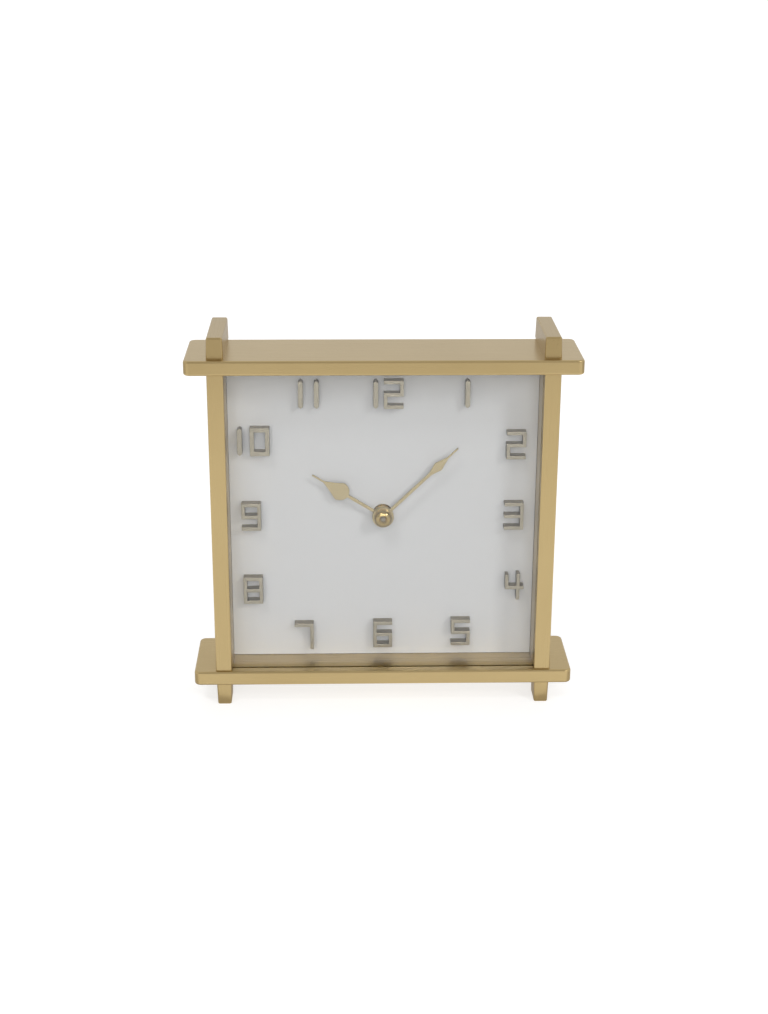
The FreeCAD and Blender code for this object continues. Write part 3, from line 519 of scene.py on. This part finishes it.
# After the colours come the roughness and, for a grained surface, the width of its grain in millimetres
PLATE_BRASS = BrushedBrass("brass_brushed_lengthwise", Axis.X)
POST_BRASS = BrushedBrass("brass_brushed_upright", Axis.Z)
BAR_BRASS = BrushedBrass("brass_brushed_deep", Axis.Y, "#BAA477", "#AF996C")
# Strip colours are the front, then the level and the upright flanks, which carry painted shade
NUMERAL_BRASS = StripBrass("brass_strip_numeral", "#989080", "#887F70", "#554F44")
HAND_BRASS = StripBrass("brass_sheet_hand", "#AA9B79", "#8A7D5C", "#7C7052", gloss=0.45)
DIAL_PAINT = GrainedSurface("dial_enamel_matt", "#CFCFD0", "#CBCBCC", 0.6, 1.2)
GLASS = FloatGlass("glass_float")
FIBREBOARD = GrainedSurface("fibreboard_pressed", "#7B5F42", "#4F3A26", 0.7, 0.9, relief=0.06, mottle=14.0)
CASE_PLASTIC = GrainedSurface("abs_moulded_black", "#2A2A2B", "#212122", 0.5, 0.6)
SIGN_PAINT = GrainedSurface("paint_pad_printed", "#B9B9B5", "#A8A8A4", 0.6, 0.3)
KNOB_PLASTIC = GrainedSurface("abs_moulded_knob", "#323233", "#28282A", 0.42, 0.6)
WASHER_RUBBER = GrainedSurface("rubber_moulded", "#1C1C1C", "#151515", 0.8, 0.5)
WHEEL_PLASTIC = GrainedSurface("acetal_moulded_natural", "#E3DFD3", "#D9D4C6", 0.35, 0.7)
BOARD_MASK = GrainedSurface("epoxy_board_green", "#1F5A35", "#184A2B", 0.3, 0.9)
COIL_WIRE = GrainedSurface("copper_wire_enamelled", "#A5582C", "#7E3F1D", 0.35, 0.25, metallic=1.0)
NICKEL = GrainedSurface("nickel_plated_strip", "#CFCCC4", "#BEBBB2", 0.25, 1.5, relief=0.005, metallic=1.0)
STAMPED_STEEL = GrainedSurface("steel_stamped", "#A8A8AA", "#97979A", 0.35, 1.0, metallic=1.0)
BOLT_STEEL = GrainedSurface("steel_blackened", "#4A4A4C", "#3A3A3C", 0.4, 0.8, metallic=1.0)
ARBOR_STEEL = TurnedMetal("steel_turned", "#857D70", "#6E675B", Axis.Y, HUB, 0.3)
NUT_BRASS = TurnedMetal("brass_turned_nut", "#AC9766", "#8E7B50", Axis.Y, HUB, 0.16)
FLOOR = GrainedSurface("acrylic_opal_backlit", "#BABABA", "#B7B7B7", 0.8, 3.0, glow=1.4)
CARD = GrainedSurface("card_grey_felt", "#AFADAB", "#A6A4A2", 0.9, 2.0, glow=0.75)
JACKET = GrainedSurface("cell_sleeve_printed", "#3B4452", "#343C49", 0.35, 2.0, relief=0.01)
CELL_BAND = GrainedSurface("cell_sleeve_foil", "#B58C50", "#A67E45", 0.3, 2.0, relief=0.01, metallic=1.0)


@dataclass
class Clock:
    """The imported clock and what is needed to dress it.

    Attributes:
        nodes: The CAD objects by node name.
    """

    nodes: dict[str, bpy.types.Object]

    def dress(self, finish: Finish, *names: str) -> None:
        """Put a finish on CAD nodes.

        Args:
            finish: The surface.
            *names: Node names.
        """
        for name in names:
            for slot in self.nodes[name].material_slots:
                slot.material = finish.material()
            LOG.info("%s: %s", name, finish.name)

    def add_piece(
        self,
        name: str,
        mesh: bmesh.types.BMesh,
        finish: Finish,
        body: str,
        slot: str,
        node: str = "",
        others: tuple[Finish, ...] = (),
        smooth: bool = False,
    ) -> None:
        """Turn a bmesh into a piece that rides on a body.

        Args:
            name: Name of the piece.
            mesh: Its shape, in place.
            finish: Its surface.
            body: Body that it moves with.
            slot: The record's material slot; not used.
            node: CAD node that it stands for, if any.
            others: Surfaces of the faces with a material number above 0.
            smooth: True for a turned piece, whose round faces are shaded as one.
        """
        data = bpy.data.meshes.new(name)
        mesh.to_mesh(data)
        mesh.free()
        for surface in (finish, *others):
            data.materials.append(surface.material())
        if smooth:
            data.shade_smooth()
            data.set_sharp_from_angle(angle=CREASE)
        piece = bpy.data.objects.new(name, data)
        bpy.context.scene.collection.objects.link(piece)
        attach(piece, body)
        if node:
            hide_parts(node)
        LOG.info("%s: %s on %s", name, finish.name, body)

    def softened(
        self, node: str, finish: Finish, body: str, slot: str, radius: float, least: float = 0.0
    ) -> None:
        """Replace a node by a copy whose sharp edges are broken.

        Args:
            node: The CAD node.
            finish: Surface of the copy.
            body: Body that it moves with.
            slot: The record's material slot.
            radius: Width of the broken edge in millimetres.
            least: Length in millimetres of the shortest edge that is broken.
        """
        mesh = bmesh.new()
        mesh.from_mesh(self.nodes[node].data)
        bmesh.ops.remove_doubles(mesh, verts=mesh.verts, dist=CAD_WELD)
        bmesh.ops.dissolve_limit(mesh, angle_limit=FLAT, verts=mesh.verts, edges=mesh.edges)
        sharp = [
            edge
            for edge in mesh.edges
            if edge.is_manifold
            and edge.calc_face_angle(0) > SHARP
            and edge.calc_length() > least * MM
        ]
        bmesh.ops.bevel(
            mesh,
            geom=sharp,
            offset=radius * MM,
            offset_type="OFFSET",
            affect="EDGES",
            segments=2,
            profile=0.5,
            material=-1,
            clamp_overlap=True,
        )
        for face in mesh.faces:
            face.smooth = False
        self.add_piece(f"{node}_edged", mesh, finish, body, slot, node)


@dataclass
class Frame:
    """Plates, posts, top bars, feet and the bolts that tie them.

    Attributes:
        clock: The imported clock.
        bolt_head: Height of a bolt's head in metres.
        bolt_shank: Radius of its shank.
        bolt_chamfer: Width of its chamfers.
        bolt_socket: Radius of its hexagon over the corners.
        bolt_reach: Depth of the hexagon.
    """

    clock: Clock
    bolt_head: float = 3.0 * MM
    bolt_shank: float = 1.5 * MM
    bolt_chamfer: float = 0.3 * MM
    bolt_socket: float = 1.4 * MM
    bolt_reach: float = 1.6 * MM

    def build(self) -> None:
        """Brush each piece along its own length."""
        self.clock.dress(PLATE_BRASS, "base_plate", "top_plate")
        self.clock.dress(POST_BRASS, "left_post", "right_post")
        self.clock.dress(BAR_BRASS, "left_top_bar", "right_top_bar")
        corners = [f"{row}_{side}" for row in ("front", "rear") for side in ("left", "right")]
        self.clock.dress(POST_BRASS, *(f"{corner}_foot" for corner in corners))
        for corner in corners:
            self.add_bolt(f"{corner}_bolt")

    def add_bolt(self, node: str) -> None:
        """Turn a bolt and press a hexagon into its head.

        Args:
            node: The CAD node that it stands for.
        """
        low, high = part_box(node)
        middle = (low + high) / 2
        head = (high.x - low.x) / 2
        step = self.bolt_chamfer
        profile = [
            (head - step, low.z),
            (head, low.z + step),
            (head, low.z + self.bolt_head),
            (self.bolt_shank, low.z + self.bolt_head),
            (self.bolt_shank, high.z - step),
            (self.bolt_shank - step, high.z),
            (0.0, high.z),
        ]
        mesh = turned(profile, middle, Axis.Z, steps=24)
        rim = [edge for edge in mesh.edges if edge.is_boundary]
        face = Matrix.Translation((middle.x, middle.y, low.z))
        bmesh.ops.create_circle(mesh, segments=6, radius=self.bolt_socket, matrix=face)
        hexagon = [edge for edge in mesh.edges if edge.is_wire]
        bmesh.ops.bridge_loops(mesh, edges=rim + hexagon)
        walls = bmesh.ops.extrude_edge_only(mesh, edges=hexagon)["geom"]
        floor = [item for item in walls if isinstance(item, bmesh.types.BMVert)]
        bmesh.ops.translate(mesh, verts=floor, vec=(0.0, 0.0, self.bolt_reach))
        bmesh.ops.contextual_create(mesh, geom=floor)
        bmesh.ops.recalc_face_normals(mesh, faces=mesh.faces)
        name = f"{node}_turned"
        self.clock.add_piece(name, mesh, BOLT_STEEL, "frame", "bolt_steel", node, smooth=True)


@dataclass
class Face:
    """Glass, dial, numerals and backing board.

    Attributes:
        clock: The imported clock.
    """

    clock: Clock

    def build(self) -> None:
        """Dress the panes and break the numerals' edges."""
        self.clock.dress(GLASS, "glass_pane")
        # Clear glass hardly shades what is behind it
        self.clock.nodes["glass_pane"].visible_shadow = False
        self.clock.nodes["glass_pane"].visible_diffuse = False
        self.clock.dress(DIAL_PAINT, "dial_plate")
        self.clock.dress(FIBREBOARD, "backing_board")
        names = [f"numeral_{hour}" for hour in range(1, 10)]
        names += [f"numeral_{hour}_{side}" for hour in (10, 11, 12) for side in ("left", "right")]
        for name in names:
            self.clock.softened(name, NUMERAL_BRASS, "frame", "numeral_brass", radius=0.12)


@dataclass
class Hands:
    """The two hands with the nuts and the arbor's end.

    Attributes:
        clock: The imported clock.
        chamfer: Width of a nut's chamfer in metres.
        groove: Depth of the grooves round the hand nut's skirt.
        pitch: Distance of the grooves.
        dome: Radius of the hand nut's domed rim.
        dish: Width of the dished mouth of its hole.
        hand_bore: Radius of that hole.
        fixing_bore: Radius of the fixing nut's hole.
    """

    clock: Clock
    chamfer: float = 0.5 * MM
    groove: float = 0.35 * MM
    pitch: float = 0.91 * MM
    dome: float = 2.548 * MM
    dish: float = 0.8 * MM
    hand_bore: float = 1.45 * MM
    fixing_bore: float = 4.05 * MM

    def build(self) -> None:
        """Dress the hands and turn the nuts."""
        self.clock.softened("hour_hand", HAND_BRASS, "hour", "hand_brass", radius=0.1)
        self.clock.softened("minute_hand", HAND_BRASS, "minute", "hand_brass", radius=0.1)
        self.clock.dress(ARBOR_STEEL, "minute_arbor")
        self.add_hand_nut()
        self.add_fixing_nut()

    def add_hand_nut(self) -> None:
        """Turn the round nut: a grooved skirt under a polished dome."""
        bore = self.hand_bore
        low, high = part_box("hand_nut")
        middle = (low + high) / 2
        radius = (high.x - low.x) / 2
        step = self.groove
        profile = [(bore, low.y + self.dish), (bore, high.y)]
        for ring in (0, 1):
            back = high.y - ring * self.pitch
            profile += [(radius - step, back), (radius, back - step), (radius, back - 2 * step)]
        profile += [(radius, low.y), (bore + self.dish, low.y), (bore, low.y + self.dish)]
        mesh = turned(profile, middle, Axis.Y, steps=72)
        rim = [
            edge
            for edge in mesh.edges
            if all(vert.co.y < low.y + WELD and (vert.co - middle).length > radius for vert in edge.verts)
        ]
        bmesh.ops.bevel(
            mesh,
            geom=rim,
            offset=self.dome,
            offset_type="OFFSET",
            affect="EDGES",
            segments=12,
            profile=0.5,
            material=-1,
        )
        self.clock.add_piece(
            "hand_nut_turned", mesh, NUT_BRASS, "minute", "hand_brass", "hand_nut", smooth=True
        )

    def add_fixing_nut(self) -> None:
        """Turn a chamfered ring and cut six flats on it."""
        bore = self.fixing_bore
        low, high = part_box("fixing_nut")
        flats = (high.x - low.x) / 2
        corner = (high.z - low.z) / 2
        middle = Vector((0.0, 0.0, (low.z + high.z) / 2))
        step = self.chamfer
        profile = [
            (bore, low.y + step / 2),
            (bore + step / 2, low.y),
            (flats, low.y),
            (corner, low.y + step),
            (corner, high.y - step),
            (flats, high.y),
            (bore + step / 2, high.y),
            (bore, high.y - step / 2),
            (bore, low.y + step / 2),
        ]
        mesh = turned(profile, middle, Axis.Y, steps=72)
        for turn in range(6):
            angle = math.radians(60 * turn)
            outward = Vector((math.cos(angle), 0.0, math.sin(angle)))
            cut = bmesh.ops.bisect_plane(
                mesh,
                geom=mesh.verts[:] + mesh.edges[:] + mesh.faces[:],
                plane_co=middle + outward * flats,
                plane_no=outward,
                clear_outer=True,
            )
            open_edges = [item for item in cut["geom_cut"] if isinstance(item, bmesh.types.BMEdge)]
            bmesh.ops.edgenet_fill(mesh, edges=open_edges)
        bmesh.ops.recalc_face_normals(mesh, faces=mesh.faces)
        self.clock.add_piece("fixing_nut_cut", mesh, NUT_BRASS, "frame", "hand_brass", "fixing_nut")


@dataclass
class Movement:
    """The quartz movement behind the board.

    Attributes:
        clock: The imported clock.
        sign: Width of a printed sign in metres.
        proud: Height of a printed sign.
        arrow_room: Distance of the turning arrow from the setting knob.
        arrow_start: Angle at which the arrow starts, in degrees.
        arrow_arc: Angle that it fills.
        cell_nub: Length of the cell's positive nub.
        cell_band: Length of the pale band at that end.
        cell_rim: Width of the sleeve's turned-in rims.
    """

    clock: Clock
    sign: float = 4.2 * MM
    proud: float = 0.25 * MM
    arrow_room: float = 2.0 * MM
    arrow_start: float = -50.0
    arrow_arc: float = 90.0
    cell_nub: float = 1.0 * MM
    cell_band: float = 13.0 * MM
    cell_rim: float = 0.6 * MM

    def build(self) -> None:
        """Dress the case and what is in it."""
        self.clock.softened("movement_case", CASE_PLASTIC, "frame", "case_black", radius=0.3, least=4.0)
        self.clock.softened("movement_cover", CASE_PLASTIC, "frame", "case_black", radius=0.25, least=4.0)
        self.add_sign("plus_sign", 1, upright=True)
        self.add_sign("minus_sign", -1, upright=False)
        self.add_arrow()
        self.add_cell()
        self.clock.dress(KNOB_PLASTIC, "setting_knob")
        self.clock.dress(WASHER_RUBBER, "rubber_washer")
        self.clock.dress(NUT_BRASS, "brass_washer")
        self.clock.dress(NICKEL, "positive_contact", "negative_contact", "quartz_crystal")
        self.clock.dress(BOARD_MASK, "circuit_board")
        self.clock.dress(COIL_WIRE, "drive_coil")
        self.clock.dress(STAMPED_STEEL, "stator")
        self.clock.dress(
            WHEEL_PLASTIC,
            "rotor",
            "intermediate_wheel",
            "seconds_wheel",
            "third_wheel",
            "centre_wheel",
            "minute_wheel",
            "hour_wheel",
        )

    def add_sign(self, name: str, side: int, upright: bool) -> None:
        """Print a pole sign on the cover, over its end of the cell.

        Args:
            name: Name of the piece.
            side: 1 for the right end seen from the front, -1 for the left.
            upright: True for an upright stroke as well as the level one.
        """
        low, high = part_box("movement_cover")
        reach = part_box("battery")[1].x
        # The strokes are the middle row and column of five by five squares
        mesh = bmesh.new()
        bmesh.ops.create_grid(mesh, x_segments=5, y_segments=5, size=self.sign / 2)
        drop = []
        for face in mesh.faces:
            spot = face.calc_center_median()
            on_level = abs(spot.y) < self.sign / 10
            on_upright = abs(spot.x) < self.sign / 10 and upright
            if not (on_level or on_upright):
                drop.append(face)
        bmesh.ops.delete(mesh, geom=drop, context="FACES")
        place = Matrix.Translation((side * (reach - self.sign), high.y, low.z + self.sign))
        self.raise_sign(name, mesh, place @ Matrix.Rotation(math.radians(-90), 4, "X"))

    def add_arrow(self) -> None:
        """Print an arrow beside the setting knob that shows how it turns."""
        low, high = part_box("setting_knob")
        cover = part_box("movement_cover")[1]
        middle = (low + high) / 2
        radius = (high.x - low.x) / 2 + self.arrow_room
        wide = self.sign / 8
        mesh = bmesh.new()
        ends = [mesh.verts.new((radius + side * wide, 0.0, 0.0)) for side in (-1, 1)]
        edge = mesh.edges.new(ends)
        start = Matrix.Rotation(math.radians(self.arrow_start), 3, "Z")
        bmesh.ops.rotate(mesh, verts=ends, cent=(0, 0, 0), matrix=start)
        arc = bmesh.ops.spin(
            mesh,
            geom=ends + [edge],
            cent=(0, 0, 0),
            axis=Axis.Z.line,
            angle=math.radians(self.arrow_arc),
            steps=18,
        )["geom_last"]
        last = [item for item in arc if isinstance(item, bmesh.types.BMVert)]
        tip = [mesh.verts.new((radius + side * 3 * wide, 0.0, 0.0)) for side in (-1, 1)]
        tip.append(mesh.verts.new((radius, 5 * wide, 0.0)))
        mesh.faces.new(tip)
        turn = Matrix.Rotation(math.atan2(last[0].co.y, last[0].co.x), 3, "Z")
        bmesh.ops.rotate(mesh, verts=tip, cent=(0, 0, 0), matrix=turn)
        place = Matrix.Translation((middle.x, cover.y, middle.z))
        self.raise_sign("turn_arrow", mesh, place @ Matrix.Rotation(math.radians(-90), 4, "X"))

    def raise_sign(self, name: str, mesh: bmesh.types.BMesh, place: Matrix) -> None:
        """Give a flat sign its height and set it on the cover.

        Args:
            name: Name of the piece.
            mesh: The flat sign in the XY plane.
            place: Where it goes.
        """
        raised = bmesh.ops.extrude_face_region(mesh, geom=mesh.faces[:])["geom"]
        top = [item for item in raised if isinstance(item, bmesh.types.BMVert)]
        bmesh.ops.translate(mesh, verts=top, vec=(0.0, 0.0, self.proud))
        bmesh.ops.transform(mesh, matrix=place, verts=mesh.verts)
        bmesh.ops.recalc_face_normals(mesh, faces=mesh.faces)
        self.clock.add_piece(name, mesh, SIGN_PAINT, "frame", "case_black")

    def add_cell(self) -> None:
        """Turn the cell: a plated can in a printed sleeve whose rims are shrunk over its ends."""
        low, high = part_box("battery")
        middle = (low + high) / 2
        radius = (high.z - low.z) / 2
        rim = self.cell_rim
        shoulder = high.x - self.cell_nub
        # From the middle of the flat end, over the sleeve, to the middle of the nub
        profile = [
            (0.0, low.x),
            (radius * 0.62, low.x),
            (radius * 0.68, low.x + rim / 2),
            (radius * 0.76, low.x + rim / 2),
            (radius * 0.8, low.x + rim / 4),
            (radius - 2 * rim, low.x + rim / 4),
            (radius - 1.6 * rim, low.x),
            (radius - rim, low.x),
            (radius - rim / 4, low.x + rim / 3),
            (radius, low.x + rim),
            (radius, shoulder - self.cell_band),
            (radius, shoulder - rim),
            (radius - rim / 4, shoulder - rim / 3),
            (radius - rim, shoulder),
            (radius - 1.6 * rim, shoulder),
            (radius - 2 * rim, shoulder - rim / 4),
            (radius * 0.5, shoulder - rim / 4),
            (radius * 0.39, shoulder),
            (radius * 0.38, high.x - rim / 3),
            (radius * 0.34, high.x),
            (0.0, high.x),
        ]
        mesh = turned(profile, middle, Axis.X, steps=48)
        for face in mesh.faces:
            spot = face.calc_center_median()
            out = math.hypot(spot.y - middle.y, spot.z - middle.z)
            if out < radius - 1.7 * rim:
                face.material_index = 2
            elif spot.x > shoulder - self.cell_band:
                face.material_index = 1
        self.clock.add_piece(
            "cell_turned",
            mesh,
            JACKET,
            "battery",
            "cell_jacket",
            "battery",
            others=(CELL_BAND, NICKEL),
            smooth=True,
        )


@dataclass(frozen=True)
class Lamp:
    """A soft lamp, so far off that it lights the whole floor evenly.

    Attributes:
        name: Name of the lamp.
        side: Angle from the front, to the right, in degrees.
        height: Angle above the floor in degrees.
        spread: Angle that the lamp's disc fills in degrees.
        power: Its strength in watts per square metre.
        mirrored: True if reflections show it.
    """

    name: str
    side: float
    height: float
    spread: float
    power: float
    mirrored: bool = False

    def hang(self) -> None:
        """Add the lamp to the scene."""
        data = bpy.data.lights.new(self.name, "SUN")
        data.angle = math.radians(self.spread)
        data.energy = self.power
        lamp = bpy.data.objects.new(self.name, data)
        lamp.rotation_euler = (math.radians(90 - self.height), 0.0, math.radians(self.side))
        lamp.visible_glossy = self.mirrored
        bpy.context.scene.collection.objects.link(lamp)


@dataclass(frozen=True)
class BentCard:
    """A card swept out by a straight line that turns about an axis.

    Attributes:
        start: One end of the line in metres.
        end: Its other end.
        axis: Direction of the axis.
        arc: Angle that the line turns by, in degrees.
        steps: Number of flat strips.
        centre: A point on the axis.
    """

    start: Point
    end: Point
    axis: Axis
    arc: float
    steps: int
    centre: Point = (0.0, 0.0, 0.0)

    def sweep(self, mesh: bmesh.types.BMesh) -> None:
        """Add the card to a mesh.

        Args:
            mesh: The mesh.
        """
        ends = [mesh.verts.new(self.start), mesh.verts.new(self.end)]
        edge = mesh.edges.new(ends)
        bmesh.ops.spin(
            mesh,
            geom=ends + [edge],
            cent=self.centre,
            axis=self.axis.line,
            angle=math.radians(self.arc),
            steps=self.steps,
        )


LAMPS = (
    Lamp("high_lamp", side=-30.0, height=54.0, spread=12.0, power=0.47),
    Lamp("low_lamp", side=40.0, height=33.0, spread=12.0, power=0.64, mirrored=True),
    Lamp("front_fill", side=-1.0, height=16.0, spread=40.0, power=1.33),
    Lamp("back_fill", side=170.0, height=26.0, spread=60.0, power=1.5),
)
# A tall sheet over the camera's side, and a mat and a low rim round the other sides
CARDS = (
    BentCard((-2.0, -0.72, 0.002), (2.0, -0.72, 0.002), Axis.X, -175.0, 24, (0.0, -0.72, 1.5)),
    BentCard((0.0, 0.0, 0.0005), (0.16, -0.056, 0.0005), Axis.Z, 219.0, 40),
    BentCard((0.47, -0.165, 0.0005), (1.0, -0.35, 0.3), Axis.Z, 219.0, 40),
)


@dataclass
class Studio:
    """Pale floor, soft light and the camera.

    Attributes:
        eye: Place of the camera in metres.
        yaw: Turn of the camera about the vertical in degrees, to the left.
        pitch: Angle that it looks down by in degrees.
        roll: Turn about the line of sight in degrees.
        focal: Focal length in pixels of the picture.
        picture: Height of the picture in pixels.
        sensor: Height of the sensor in millimetres.
        floor_reach: Half the width of the floor in metres.
        sky_seen: Brightness of the sky to the camera.
        sky_mirrored: Its brightness in reflections.
        sky_light: Its strength as a lamp.
    """

    eye: Point = (-0.02266, -0.86545, 0.42439)
    yaw: float = -1.5469
    pitch: float = 20.0459
    roll: float = 0.2422
    focal: float = 1667.25
    picture: float = 1014.0
    sensor: float = 36.0
    floor_reach: float = 10.0
    sky_seen: float = 1.1
    sky_mirrored: float = 0.84
    sky_light: float = 0.3

    def build(self) -> None:
        """Set up the floor, the lights and the camera."""
        bpy.context.scene.view_settings.view_transform = "Standard"
        self.add_floor()
        self.add_sky()
        for lamp in LAMPS:
            lamp.hang()
        self.add_cards()
        self.add_camera()

    def add_thing(self, name: str, mesh: bmesh.types.BMesh, finish: Finish) -> bpy.types.Object:
        """Turn a bmesh into a thing of the studio.

        Args:
            name: Name of the thing.
            mesh: Its shape, in place.
            finish: Its surface.

        Returns:
            The new object.
        """
        data = bpy.data.meshes.new(name)
        mesh.to_mesh(data)
        mesh.free()
        data.materials.append(finish.material())
        thing = bpy.data.objects.new(name, data)
        bpy.context.scene.collection.objects.link(thing)
        return thing

    def add_floor(self) -> None:
        """Lay a wide pale floor under the feet."""
        mesh = bmesh.new()
        bmesh.ops.create_grid(mesh, x_segments=8, y_segments=8, size=self.floor_reach)
        floor = self.add_thing("floor", mesh, FLOOR)
        # Its own light would fill the shadows under the top plate
        floor.visible_diffuse = False

    def add_sky(self) -> None:
        """Hang a white dome all round, bright to look at and in reflections, and dim as a lamp."""
        world = bpy.data.worlds.new("studio")
        world.use_nodes = True
        tree = world.node_tree
        ray = add_node(tree, "ShaderNodeLightPath").outputs
        seen = add_node(
            tree,
            "ShaderNodeMapRange",
            {"Value": ray["Is Camera Ray"], "To Min": self.sky_mirrored, "To Max": self.sky_seen},
        )
        strength = add_node(
            tree,
            "ShaderNodeMapRange",
            {"Value": ray["Is Diffuse Ray"], "To Min": seen.outputs[0], "To Max": self.sky_light},
        )
        dome = tree.nodes["Background"].inputs
        dome["Color"].default_value = linear("#FFFFFF")
        tree.links.new(strength.outputs[0], dome["Strength"])
        bpy.context.scene.world = world

    def add_cards(self) -> None:
        """Bend grey cards over the camera's side and round the others, seen by reflections only."""
        mesh = bmesh.new()
        for bent in CARDS:
            bent.sweep(mesh)
        bmesh.ops.remove_doubles(mesh, verts=mesh.verts, dist=WELD)
        card = self.add_thing("dark_card", mesh, CARD)
        card.visible_camera = False
        card.visible_diffuse = False
        card.visible_transmission = False
        card.visible_shadow = False

    def add_camera(self) -> None:
        """Stand the camera where the photograph was taken from."""
        data = bpy.data.cameras.new("camera")
        data.sensor_fit = "VERTICAL"
        data.sensor_height = self.sensor
        data.lens = self.focal * self.sensor / self.picture
        camera = bpy.data.objects.new("camera", data)
        turn = (
            Matrix.Rotation(math.radians(self.yaw), 4, "Z")
            @ Matrix.Rotation(math.radians(90 - self.pitch), 4, "X")
            @ Matrix.Rotation(math.radians(self.roll), 4, "Z")
        )
        camera.matrix_world = Matrix.Translation(self.eye) @ turn
        bpy.context.scene.collection.objects.link(camera)
        bpy.context.scene.camera = camera


def main() -> None:
    """Load the clock, dress each sub-assembly and set up the studio."""
    logging.basicConfig(level=logging.INFO, format="%(message)s")
    clock = Clock(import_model()["nodes"])
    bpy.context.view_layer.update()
    for assembly in (Frame(clock), Face(clock), Hands(clock), Movement(clock)):
        assembly.build()
    Studio().build()


if __name__ == "__main__":
    main()
